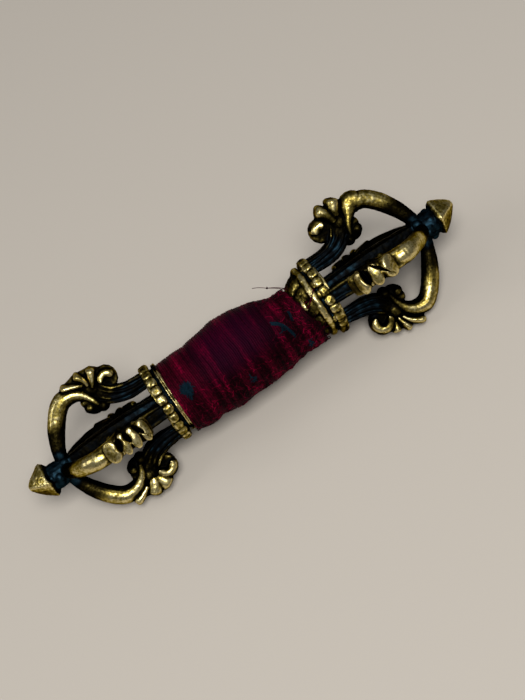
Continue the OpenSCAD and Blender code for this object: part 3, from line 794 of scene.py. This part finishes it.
def make_prong(side, name, seed):
    whole, turn = f"{side}_{name}", PRONG_TURNS[name]
    up = math.copysign(1.0, turn) * (1 if side == "right" else -1)
    shape, fan, pits = bmesh.new(), FANS[whole], PITS.get(whole)
    prong_arm(shape, ELBOW_LIFT.get(whole, 0.0), ELBOW_SWELL.get(whole, 0.0))
    prong_shank(shape, random.Random(seed))
    prong_fan(shape, up, fan, bool(pits))
    prong_jaw(shape)
    mesh = skin(shape, whole + "_makara", rounds=6 if pits else 3)
    roughen(mesh, seed)
    # sunk is painted shade: on the fan's floors, roots and jaw, and in its pressed hollows
    sunk = fan_painted_shade(mesh, up, fan[2])
    if pits:
        sunk = np.maximum(sunk, PIT_PAINTED_SHADE * carve_pits(mesh, up, pits))
    mesh.transform(Matrix.Rotation(math.radians(turn), 4, "X") @ half_turn(side))
    paint_wear_light_and_patina(mesh, PRONG_PAINTED_LIGHT[whole], sunk=sunk, blued=SHANK_BLUE[side], cage_from=CAGE_X)
    return finish_piece(mesh, whole + "_makara", brass, "antique_brass", whole + "_prong")


for seed, (side, name) in enumerate(((s, n) for s in ("left", "right") for n in PRONG_TURNS), 1):
    piece = make_prong(side, name, seed)
    print(piece.name, len(piece.data.polygons), "faces")

# %% [markdown]
# ## Centre prongs and necks
# The bar in the middle of each cage is square, with its flats towards the prongs, and swells half
# way. Where it meets the prongs the founder flooded the joint, and that braze is a lumpy dark mass.
# The bar is one sweep with a diamond section, and the braze a handful of seeded drops melted on.

# %% Centre prongs
BAR_ROOT, BAR_MID, BAR_NECK = 2.35, 3.0, 2.1
DROPS = 22


def about(x, radius, angle):
    """A point from its place along the X axis, its distance from it and its angle about it."""
    return Vector((x, radius * math.cos(angle), radius * math.sin(angle)))


def make_centre_prong(side, seed):
    chance = random.Random(seed)
    shape = bmesh.new()
    path, sizes = [], []
    for t in steps(20):
        half = lerp(BAR_ROOT, BAR_NECK, t) + (BAR_MID - (BAR_ROOT + BAR_NECK) / 2) * math.sin(math.pi * t)
        path.append(Vector((lerp(FACE_X - 0.7, PRONG_X + 0.6, t), 0, 0)))
        sizes.append((half, half))
    sweep(shape, path, sizes, sides=32, power=1.18)
    neck = [Vector((x, 0, 0)) for x in (PRONG_X - 0.8, PRONG_X + 0.6, TIP_X - 0.6, TIP_X + 0.7)]
    sweep(shape, neck, [(1.9, 1.9), (2.3, 2.3), (2.5, 2.5), (2.35, 2.35)], sides=20)
    for i in range(DROPS):
        angle = math.tau * i / 8 + chance.uniform(-0.3, 0.3)
        along = lerp(PRONG_X - 1.2, TIP_X + 0.5, chance.random())
        place = about(along, chance.uniform(1.4, 2.2), angle)
        drop = chance.uniform(0.55, 0.95)
        pad(shape, place, drop, drop)
    mesh = skin(shape, f"{side}_centre_bar")
    roughen(mesh, seed, waves=0.08, lumps=0.05)
    mesh.transform(half_turn(side))
    paint_wear_light_and_patina(mesh, wear_and_light_shift=-0.30, patina_shift=0.25, cage_from=CAGE_X)
    return finish_piece(mesh, f"{side}_centre_bar", brass, "antique_brass", f"{side}_centre_prong")


for_both_heads(make_centre_prong, 20)

# %% [markdown]
# ## Tips
# The tips are four-sided pyramids with their corners in line with the prongs, filed by hand, so
# the edges are rounded and the points lean a little. A sweep with a square section that grows from the
# seat to the shoulder and closes on the point gives the form, and the lean is added at the end.

# %% Tips
# Half diagonals of the tip at places along it
TIP_STATIONS = [(0.0, 2.4), (0.4, 3.0), (1.0, 3.45), (1.7, 3.1), (2.8, 2.3), (3.8, 1.45),
                (POINT_X - TIP_X - 0.02, 0.6)]
# How far the point leans
TIP_LEAN = {"left": Vector((0, 0.5, 0.35)), "right": Vector((0, 0.75, 0.5))}


def make_tip(side, seed):
    shape = bmesh.new()
    path = [Vector((TIP_X + along, 0, 0)) for along, _ in TIP_STATIONS]
    sweep(shape, path, [(corner, corner) for _, corner in TIP_STATIONS], sides=32, power=1.3)
    bmesh.ops.rotate(shape, cent=(0, 0, 0), verts=shape.verts, matrix=Matrix.Rotation(math.pi / 4, 3, "X"))
    mesh = skin(shape, f"{side}_pyramid", grain=0.08, rounds=9)
    roughen(mesh, seed, waves=0.1, lumps=0.05)
    mesh.transform(half_turn(side))
    for vert in mesh.vertices:
        vert.co += TIP_LEAN[side] * max(0.0, (abs(vert.co.x) - TIP_X) / (POINT_X - TIP_X))
    mesh.update()
    paint_wear_light_and_patina(mesh, wear_and_light_shift=0.05)
    return finish_piece(mesh, f"{side}_pyramid", brass, "antique_brass", f"{side}_tip")


for_both_heads(make_tip, 30)

# %% [markdown]
# ## Pearl rings
# A ring of pearls stands between the cage and the collar. Its band is turned: a half outline is spun
# about the axis. The pearls are set one by one with small differences, as a wax modeller presses them,
# and on the right some are worn together, which a flat pad between two pearls gives.

# %% Turning helpers


def spun(shape, geom):
    """Spins vertices and edges once about the X axis."""
    bmesh.ops.spin(shape, geom=geom, cent=(0, 0, 0), axis=(1, 0, 0), dvec=(0, 0, 0),
                   angle=math.tau, steps=96, use_merge=True)


def turned(shape, outline):
    """Turns a half outline of (x, radius) points, which starts and ends on the axis."""
    verts = [shape.verts.new((x, 0, r)) for x, r in outline]
    spun(shape, verts + [shape.edges.new(pair) for pair in zip(verts, verts[1:])])
    bmesh.ops.remove_doubles(shape, verts=shape.verts[:], dist=0.001)


def around(angle, x, radius):
    """Carries a shape from the axis out to a radius at an angle about X, with its top outwards."""
    return Matrix.Rotation(angle, 4, "X") @ Matrix.Translation((x, 0, radius))


print("turning helpers ready")

# %% Pearl rings
PEARLS = 24
# Half length of a pearl along the axis, its half width and how proud it stands
PEARL_LONG, PEARL_WIDE, PEARL_PROUD = 0.87, 0.95, 0.68
# Where pearls of the right ring are worn together, in radians about the axis
WORN_FROM, WORN_TO = 0.8, 2.2
# Each ring starts a little nearer the grip than its CAD node
RING_X = {"left": ring_low.x - 0.25, "right": ring_low.x - 0.4}


def make_pearl_ring(side, seed):
    chance = random.Random(seed)
    shape = bmesh.new()
    low, high, band = RING_X[side], RING_X[side] + ring_high.x - ring_low.x, PEARL_R - 0.55
    turned(shape, [(low + 0.15, 0), (low + 0.15, band), (high - 0.2, band), (high - 0.2, 0)])
    for i in range(PEARLS):
        angle = math.tau * (i + chance.uniform(-0.07, 0.07)) / PEARLS
        wide, proud = PEARL_WIDE * chance.uniform(0.93, 1.03), PEARL_PROUD * chance.uniform(0.85, 1.05)
        place = around(angle, (low + high) / 2 + chance.uniform(-0.04, 0.04), PEARL_R - 0.6)
        cushion(shape, place @ Matrix.Diagonal((PEARL_LONG, wide, proud, 1.0)), power=2.9)
        if side == "right" and WORN_FROM < angle < WORN_TO:
            worn_flat = around(angle + math.pi / PEARLS, (low + high) / 2, PEARL_R - 0.7)
            cushion(shape, worn_flat @ Matrix.Diagonal((0.8, 0.5, 0.62, 1.0)), power=2.9)
    mesh = skin(shape, f"{side}_pearls", rounds=4)
    roughen(mesh, seed, waves=0.12, lumps=0.08)
    mesh.transform(half_turn(side))
    paint_wear_light_and_patina(mesh, wear_and_light_shift=-0.40)
    return finish_piece(mesh, f"{side}_pearls", brass, "antique_brass", f"{side}_pearl_ring")


for_both_heads(make_pearl_ring, 40)

# %% [markdown]
# ## Lotus collars
# Behind the pearls runs a groove, then a rib, and then lotus petals go down to the grip. On the left
# the rib is double and thin. On the right it is broad, drops of metal bridge the groove, and one petal
# has a lip. The body and the ribs are turned, and petals and bridges are cushions pressed on.

# %% Lotus collars
PETALS = 12
# Radius under the petals at the thread and at the rib, and how proud a petal stands
PETAL_FORM = {"left": (4.2, 4.7, 0.5), "right": (4.0, 5.9, 0.85)}
# Ribs as (place, half width, crest radius), the rib nearest the pearls first
RIBS = {"left": [(FACE_X - 2.65, 0.18, 6.8), (FACE_X - 3.05, 0.16, 6.85)],
        "right": [(FACE_X - 3.2, 0.72, 6.95)]}
BRIDGES = {"left": 0, "right": 9}
COLLAR_SHADE = {"left": -0.34, "right": -0.26}
GROOVE_R, SEAT_R = 6.2, 5.7


def add_rib(shape, x, half, crest):
    """A round bead about the axis, made by spinning a small circle."""
    ring = bmesh.ops.create_circle(shape, segments=14, radius=1)["verts"]
    form = Matrix.Rotation(math.pi / 2, 4, "X") @ Matrix.Diagonal((half, 0.7, 1.0, 1.0))
    bmesh.ops.transform(shape, verts=ring, matrix=around(0, x, crest - 0.7) @ form)
    spun(shape, ring + edges_of(ring))


def make_collar(side, seed):
    chance = random.Random(seed)
    narrow, wide, proud = PETAL_FORM[side]
    rib_x, rib_half, _ = RIBS[side][0]
    petal_end, groove_x = rib_x - rib_half, (rib_x + rib_half + RING_X[side]) / 2
    shape = bmesh.new()
    turned(shape, [(PETAL_X, 0), (PETAL_X, narrow), (petal_end, wide), (rib_x, GROOVE_R),
                   (ring_low.x, GROOVE_R), (ring_low.x, SEAT_R), (FACE_X, SEAT_R), (FACE_X, 0)])
    for rib in RIBS[side]:
        add_rib(shape, *rib)
    slope = math.atan2(wide - narrow, petal_end - PETAL_X)
    for i in range(PETALS):
        angle = math.tau * (i + 0.5 + chance.uniform(-0.07, 0.07)) / PETALS
        width = wide * math.pi / PETALS * chance.uniform(0.88, 0.98)
        form = Matrix.Diagonal((2.6, width, proud * chance.uniform(0.9, 1.15), 1.0))
        lean = Matrix.Rotation(-slope, 4, "Y") @ Matrix.Rotation(chance.uniform(0.05, 0.2), 4, "Z")
        place = around(angle, (PETAL_X + petal_end) / 2 + 0.5, (narrow + wide) / 2)
        cushion(shape, place @ lean @ form, power=2.4)
    for i in range(BRIDGES[side]):
        bridge = around(math.tau * (i + chance.uniform(-0.35, 0.35)) / BRIDGES[side], groove_x, GROOVE_R)
        cushion(shape, bridge @ Matrix.Diagonal((0.75, chance.uniform(0.6, 1.2), 0.45, 1.0)), power=2.6)
    if side == "right":
        cushion(shape, around(0.54, PETAL_X + 0.9, 5.85) @ Matrix.Diagonal((0.35, 1.1, 0.35, 1.0)))
    mesh = skin(shape, f"{side}_lotus", grain=0.11, rounds=2)
    roughen(mesh, seed, waves=0.22, lumps=0.06)
    x, y, z = rows_of(mesh, "co").T
    groove = fade(np.abs(x - groove_x), 0.3, 0.6) * fade(np.hypot(y, z), GROOVE_R + 0.2, GROOVE_R + 0.5)
    mesh.transform(half_turn(side))
    paint_wear_light_and_patina(mesh, COLLAR_SHADE[side], patina_shift=0.08 + 0.5 * groove, sunk=groove)
    return finish_piece(mesh, f"{side}_lotus", brass, "antique_brass", f"{side}_lotus_collar")


for_both_heads(make_collar, 50)

# %% [markdown]
# ## The core of the grip
# The spindle and the hub are hidden by the thread. They keep their CAD shape and take the brass.

# %% Spindle and hub
for name in ("grip_spindle", "grip_hub"):
    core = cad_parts[name]
    core.data.materials.clear()
    core.data.materials.append(brass)
    print("brass on", name)

# %% [markdown]
# ## Thread
# The grip is wound with one long sewing thread, turn beside turn. It is silky and dark, with brighter
# turns where fresh thread shows, and at the lower front the turns are rubbed into a felt. Colour and
# felt are painted on each vertex from its place along the grip and round it, so that streaks run
# along the turns, and the shader adds lint as a fine bump.

# %% Thread material
RED_STOPS = [
    (0.0, (0.0025, 0.0003, 0.0008)),
    (0.35, (0.014, 0.0006, 0.003)),
    (0.7, (0.065, 0.0006, 0.009)),
    (1.0, (0.24, 0.001, 0.026)),
]
BLUE_STOPS = [(0.0, (0.001, 0.003, 0.005)), (0.6, (0.005, 0.020, 0.032)), (1.0, (0.012, 0.055, 0.085))]
# Colours of a painted sheen, the sky's light on the thread, mixed into its colour where it faces up
RED_PAINTED_SHEEN, BLUE_PAINTED_SHEEN = (0.024, 0.0008, 0.012, 1.0), (0.006, 0.025, 0.04, 1.0)


def thread_material(name, stops, painted_sheen_colour):
    """Sewing thread: tone gives its brightness, and the second number a painted sheen in the colour of the
    sky.
    """
    material, tree, shader = new_material(name)
    fleck = level_of(tree, noise_of(tree, 2600, 3.0, 0.6), 0.3, 0.7, -0.2, 0.2)
    colour = ramp_of(tree, combine(tree, "ADD", painted(tree, "tone"), fleck), stops)
    colour = blend_of(tree, painted(tree, "painted_sheen"), colour, painted_sheen_colour)
    tree.links.new(colour, shader.inputs["Base Color"])
    shader.inputs["Roughness"].default_value = 0.5
    shader.inputs["Specular IOR Level"].default_value = 0.02
    add_bump(tree, shader, 0.5, 0.04, noise_of(tree, 5200))
    return material


red_thread = thread_material("red_thread", RED_STOPS, RED_PAINTED_SHEEN)
blue_thread = thread_material("blue_thread", BLUE_STOPS, BLUE_PAINTED_SHEEN)
print("made", red_thread.name, "and", blue_thread.name)

# %% [markdown]
# The wrap isn't a true round. It sags towards the lower front, is pinched before the right collar,
# and runs up over that collar's petals below. One function gives its radius at any place, and all
# threads, scraps and hairs lie on it.

# %% The wrap's surface
SAG_ANGLE = math.radians(214)
# Places along the axis with the mean radius of the wrap and how far it sags, in millimetres
WRAP = [(-14.9, 6.75, 0.55), (-11.2, 7.1, 0.65), (-9.0, 6.8, 0.5), (-6.2, 7.35, 0.55), (-2.5, 7.5, 0.2),
        (1.5, 7.35, 0.3), (5.0, 6.75, 0.6), (8.6, 5.8, 0.95), (13.8, 5.9, 1.0)]
WRAP_X, WRAP_R, WRAP_SAG = (np.array(column) for column in zip(*WRAP))
# Both ends of the wrap, and how far the right one slants
WRAP_LEFT, WRAP_RIGHT, WRAP_SLANT = -14.85, 12.3, 1.2


def wrap_radius(x, angle):
    lump = 0.16 * noise.noise(about(0.35 * x, 1.3, angle))
    tuft = 0.30 * felting(x, angle) * noise.noise(about(0.8 * x + 5, 4.0, angle))
    sag = np.interp(x, WRAP_X, WRAP_SAG) * math.cos(angle - SAG_ANGLE)
    return float(np.interp(x, WRAP_X, WRAP_R)) + sag + lump + tuft


def wrap_right(angle):
    """Where the wrap ends on the right: further along below than above."""
    ragged = 0.55 * noise.noise(Vector((3.0 * math.cos(angle), 3.0 * math.sin(angle), 0.5)))
    return WRAP_RIGHT + WRAP_SLANT * math.cos(angle - SAG_ANGLE) + ragged


def on_wrap(x, angle, lift=0.0):
    """A point on the wrap from its place along the axis and its angle about it."""
    return about(x, wrap_radius(x, angle) + lift, angle)


def felting(x, angle):
    """How much the thread is rubbed into felt, from 0 to 1."""
    below = ramp(math.cos(angle - math.radians(200)), 0.25, 0.8)
    right = ramp(x, 2.0, 9.0)
    return float(np.clip(below * (0.55 + 0.45 * right) + 0.5 * right, 0, 1))


def tone_at(point, shift=0.0):
    """Brightness of the red thread at a point: streaks along the turns, darker where felted."""
    angle = math.atan2(point.z, point.y)
    streak = noise.noise(about(1.5 * point.x, 0.6, angle))
    patch = noise.noise(about(0.3 * point.x + 9, 1.1, angle))
    return 0.50 + 0.42 * streak + 0.25 * patch - 0.10 * felting(point.x, angle) + shift


def painted_sheen_at(point):
    """How much painted sheen the winding gets where it faces the sky, most near the middle of the wrap,
    from 0 to 1.
    """
    angle = math.atan2(point.z, point.y)
    upward = ramp(math.cos(angle - math.radians(100)), 0.55, 0.98)
    return float(0.65 * upward * fade(abs(point.x + 1.5), 2.0, 11.0))


print("wrap from", round(wrap_radius(-14, SAG_ANGLE), 2), "to", round(wrap_radius(12, SAG_ANGLE), 2), "mm")

# %% [markdown]
# The under-layers show only between the turns, so they are one closed sleeve. The outer layer is one
# long thread. Its section stays round, so a curve with a round bevel draws it.

# %% Thread helpers


def paint_thread(mesh, shift):
    paint(mesh, "tone", np.array([tone_at(vert.co, shift) for vert in mesh.vertices]))
    paint(mesh, "painted_sheen", np.array([painted_sheen_at(vert.co) for vert in mesh.vertices]))


def threads(name, routes, radii, shift=0.0, resolution=1):
    """A mesh of round threads along routes of points, each with its own radius, painted with its tone."""
    data = bpy.data.curves.new(name, "CURVE")
    data.dimensions = "3D"
    data.bevel_depth = 1.0
    data.bevel_resolution = resolution
    data.use_fill_caps = True
    for route, radius in zip(routes, radii):
        spline = data.splines.new("POLY")
        spline.points.add(len(route) - 1)
        spline.points.foreach_set("co", [c for p in route for c in (*p, 1.0)])
        spline.points.foreach_set("radius", [radius] * len(route))
    holder = bpy.data.objects.new(name, data)
    mesh = bpy.data.meshes.new_from_object(holder)
    bpy.data.objects.remove(holder)
    bpy.data.curves.remove(data)
    mesh.name = name
    paint_thread(mesh, shift)
    return mesh


print("thread helpers ready")

# %% Thread bed and winding
TURNS, POINTS_A_TURN = 74, 48
THREAD_R = 0.21


def bed_mesh():
    """The under-layers as one closed sleeve, a little inside the wrap."""
    shape = bmesh.new()
    stations, sides = 60, 72
    ring = bmesh.ops.create_circle(shape, segments=sides, radius=1)["verts"]
    first_loop = loop = edges_of(ring)
    for i in range(stations + 1):
        if i:
            ring, loop = grow(shape, loop)
        for vert in ring:
            angle = math.atan2(vert.co.z, vert.co.y) if i else math.atan2(vert.co.y, vert.co.x)
            x = lerp(WRAP_LEFT, wrap_right(angle) - 0.2, i / stations)
            vert.co = on_wrap(x, angle, -0.13)
    bmesh.ops.holes_fill(shape, edges=first_loop + loop, sides=sides)
    bmesh.ops.recalc_face_normals(shape, faces=shape.faces[:])
    mesh = bpy.data.meshes.new("thread_bed")
    shape.to_mesh(mesh)
    shape.free()
    # Painted shade: the sleeve is painted darker than the winding, as it shows only in the gaps between
    # turns
    paint_thread(mesh, -0.2)
    return mesh


def winding_route():
    """One thread wound from the left rib to the right collar, each turn beside the last."""
    route = []
    for i in range(TURNS * POINTS_A_TURN + 1):
        turn = i / POINTS_A_TURN
        angle = math.tau * turn
        stray = 0.10 * noise.noise(about(turn * 0.9, 2.0, angle))
        lift = 0.05 * noise.noise(about(turn * 1.7 + 40, 1.5, angle))
        x = lerp(WRAP_LEFT + 0.1, wrap_right(angle) - 0.1, turn / TURNS) + stray
        route.append(on_wrap(x, angle, lift - 0.05))
    return route


bed = finish_piece(bed_mesh(), "thread_bed", red_thread, "red_thread", "thread_packing")
wound = threads("wound_thread", [winding_route()], [THREAD_R])
wound = finish_piece(wound, "wound_thread", red_thread, "red_thread", "thread_winding")
print(bed.name, len(bed.data.polygons), "and", wound.name, len(wound.data.polygons), "faces")

# %% [markdown]
# Where hands rub the grip the turns break up into felt. Short strands that wander over the wrap
# give that nap. Each is only a few faces, since hundreds are needed, and they come in a dark, a
# plain and a bright lot, so that the felt looks speckled.

# %% Felt
FELT_LOTS = {"dark": (-0.30, 380), "plain": (0.05, 420), "bright": (0.36, 380)}
FELT_R = 0.07
# Mean radius of the wrap, which makes an angle of a step round it
GRIP_R = 7


def wander(x, angle, chance, count, step, bend, lift, nap):
    """A strand that wanders over the wrap in short steps, off it by lift and up to nap more."""
    heading, route = chance.uniform(0, math.tau), []
    for _ in range(count):
        route.append(on_wrap(x, angle, lift + chance.uniform(0.0, nap)))
        heading += chance.uniform(-bend, bend)
        x = max(WRAP_LEFT, x + step * math.cos(heading))
        angle += step * math.sin(heading) / GRIP_R
    return route


def felt_routes(count, chance):
    """Wandering strands, more of them where the wrap is felted."""
    routes = []
    while len(routes) < count:
        x, angle = chance.uniform(WRAP_LEFT + 0.3, WRAP_RIGHT + 1.0), chance.uniform(0, math.tau)
        if chance.random() > felting(x, angle) or x > wrap_right(angle):
            continue
        routes.append(wander(x, angle, chance, count=7, step=0.3, bend=0.9, lift=0.04, nap=0.14))
    return routes


for seed, (lot, (shift, count)) in enumerate(FELT_LOTS.items()):
    routes = felt_routes(count, random.Random(60 + seed))
    felt = threads(f"{lot}_felt", routes, [FELT_R] * count, shift, resolution=0)
    felt = finish_piece(felt, f"{lot}_felt", red_thread, "red_thread")
    print(felt.name, len(felt.data.polygons), "faces")

# %% [markdown]
# ## Blue scraps
# Scraps of blue thread are caught in the winding: a matted spot with a tail at the left, a thick
# strand and a curl at the right, and a few dots. They are thread too, so they are drawn as strands
# that wander on the wrap.

# %% Blue scraps
SCRAP_R = 0.08
# Places on the wrap, in millimetres along it and degrees about it
SPOT = (-12.25, 127)
TAIL = [(-12.1, 131), (-12.3, 135), (-12.5, 139), (-12.6, 142)]
STRAND = [(5.8, 116), (6.8, 122), (7.4, 129), (7.8, 138), (8.1, 148), (8.2, 154)]
CURL = [(9.7, 114), (9.7, 120), (9.55, 126), (9.4, 132)]
DOTS = [(-1.9, 163), (-1.7, 167), (10.2, 183), (10.0, 176), (7.0, 135)]


def tangle(place, spread, count, chance):
    """Short strands that wander about one place, as matted scraps do."""
    routes = []
    for _ in range(count):
        far, way = spread * math.sqrt(chance.random()), chance.uniform(0, math.tau)
        x, angle = place[0] + far * math.cos(way), math.radians(place[1]) + far * math.sin(way) / GRIP_R
        routes.append(wander(x, angle, chance, count=6, step=0.14, bend=0.7, lift=0.16, nap=0.2))
    return routes


def strand_routes(places, count, spread, chance):
    """Several fibres along one list of places."""
    routes = []
    for _ in range(count):
        aside, turn = chance.uniform(-spread, spread), chance.uniform(-spread, spread) / GRIP_R
        routes.append([on_wrap(x + aside, math.radians(degrees) + turn, 0.2 + chance.uniform(0.0, 0.14))
                       for x, degrees in places])
    return routes


chance = random.Random(70)
routes = tangle(SPOT, 0.85, 150, chance) + strand_routes(TAIL, 6, 0.2, chance)
routes += strand_routes(STRAND, 7, 0.3, chance) + strand_routes(CURL, 3, 0.16, chance)
for place in DOTS:
    routes += tangle(place, 0.22, 7, chance)
scraps = threads("blue_scraps", routes, [SCRAP_R] * len(routes), resolution=0)
scraps = finish_piece(scraps, "blue_scraps", blue_thread, "blue_thread", "blue_thread_scraps")
print(scraps.name, len(scraps.data.polygons), "faces")

# %% [markdown]
# ## Loose ends
# Two cut ends of the red thread stand off the wrap above the right collar and meet in a tiny knot,
# and one strand lies across that collar's petals.

# %% Loose ends
KNOT = Vector((9.1, 4.0, 5.7))
END = Vector((6.9, 5.1, 6.6))
# Where both ends leave the wrap, in millimetres along it and degrees about it
ROOTS = [(11.9, 55), (12.0, 72)]
KNOT_R = 0.14
# The strand on the petals, as (place along, distance from the axis, angle about it)
STRAY = [(15.4, 7.4, 1.93), (15.0, 7.4, 1.98), (14.3, 7.3, 2.065), (13.4, 7.0, 2.17), (12.7, 6.3, 2.24)]
LOOSE_R = [0.06, 0.06, 0.06, 0.08, 0.15]


def arched(start, end, rise):
    """Points from start to end along a line that arches a little."""
    return [start.lerp(end, t) + Vector((0, 0, rise * math.sin(math.pi * t))) for t in steps(8)]


loose = [arched(on_wrap(x, math.radians(degrees)), KNOT, 0.25) for x, degrees in ROOTS]
loose.append(arched(KNOT, END, 0.2))
loose.append([KNOT + KNOT_R * Vector((math.cos(i), math.sin(2 * i), math.sin(i))) for i in range(12)])
loose.append([about(*place) for place in STRAY])
# Painted light: the loose ends are painted a little brighter than the winding, so that the thin strand
# lying in shade on the petals shows
ends = threads("loose_ends", loose, LOOSE_R, 0.15)
ends = finish_piece(ends, "loose_ends", red_thread, "red_thread")
print(ends.name, len(ends.data.polygons), "faces")

# %% [markdown]
# ## Floor and light
# A plain pale floor under the lowest prongs, a wide soft light overhead, and a dim, even room.
# Metal shows what is round it, so the room is darker low down than overhead: that contrast is
# what makes brass look like metal.

# %% Floor
FLOOR_COLOUR = (0.62, 0.56, 0.48, 1.0)
floor_material, _, floor_shader = new_material("pale_floor")
floor_shader.inputs["Base Color"].default_value = FLOOR_COLOUR
floor_shader.inputs["Roughness"].default_value = 0.75
floor_shape = bmesh.new()
bmesh.ops.create_circle(floor_shape, cap_ends=True, segments=96, radius=1.5)
bmesh.ops.translate(floor_shape, verts=floor_shape.verts, vec=(0, 0, cad_low.z))
floor_mesh = bpy.data.meshes.new("floor")
floor_shape.to_mesh(floor_mesh)
floor_shape.free()
floor_mesh.materials.append(floor_material)
floor = bpy.data.objects.new("floor", floor_mesh)
bpy.context.collection.objects.link(floor)
print("floor at", round(cad_low.z / MM, 2), "mm")

# %% Light


def soft_light(name, place, size, power):
    """A square area light in metres that looks at the middle of the object."""
    data = bpy.data.lights.new(name, "AREA")
    data.size = size
    data.energy = power
    lamp = bpy.data.objects.new(name, data)
    turn = Vector(place).to_track_quat("Z", "Y").to_matrix().to_4x4()
    lamp.matrix_world = Matrix.Translation(place) @ turn
    bpy.context.collection.objects.link(lamp)


soft_light("overhead", (0.0, -0.28, 0.56), 0.28, 2.8)
soft_light("left_side", (-0.50, 0.10, 0.35), 0.22, 0.5)
ROOM_STOPS = [(0.0, (0.05, 0.05, 0.05)), (0.5, (0.06, 0.06, 0.063)), (1.0, (0.34, 0.35, 0.37))]
world = bpy.data.worlds.new("room")
world.use_nodes = True
room = world.node_tree
room.nodes.clear()
direction = add_node(room, "ShaderNodeTexCoord").outputs["Generated"]
height = add_node(room, "ShaderNodeSeparateXYZ", {0: direction})
glow = ramp_of(room, level_of(room, height.outputs["Z"], -0.2, 1.0), ROOM_STOPS)
background = add_node(room, "ShaderNodeBackground", {"Color": glow, "Strength": 1.0})
add_node(room, "ShaderNodeOutputWorld", {"Surface": background.outputs[0]})
bpy.context.scene.world = world
print("two lamps and a dim room")
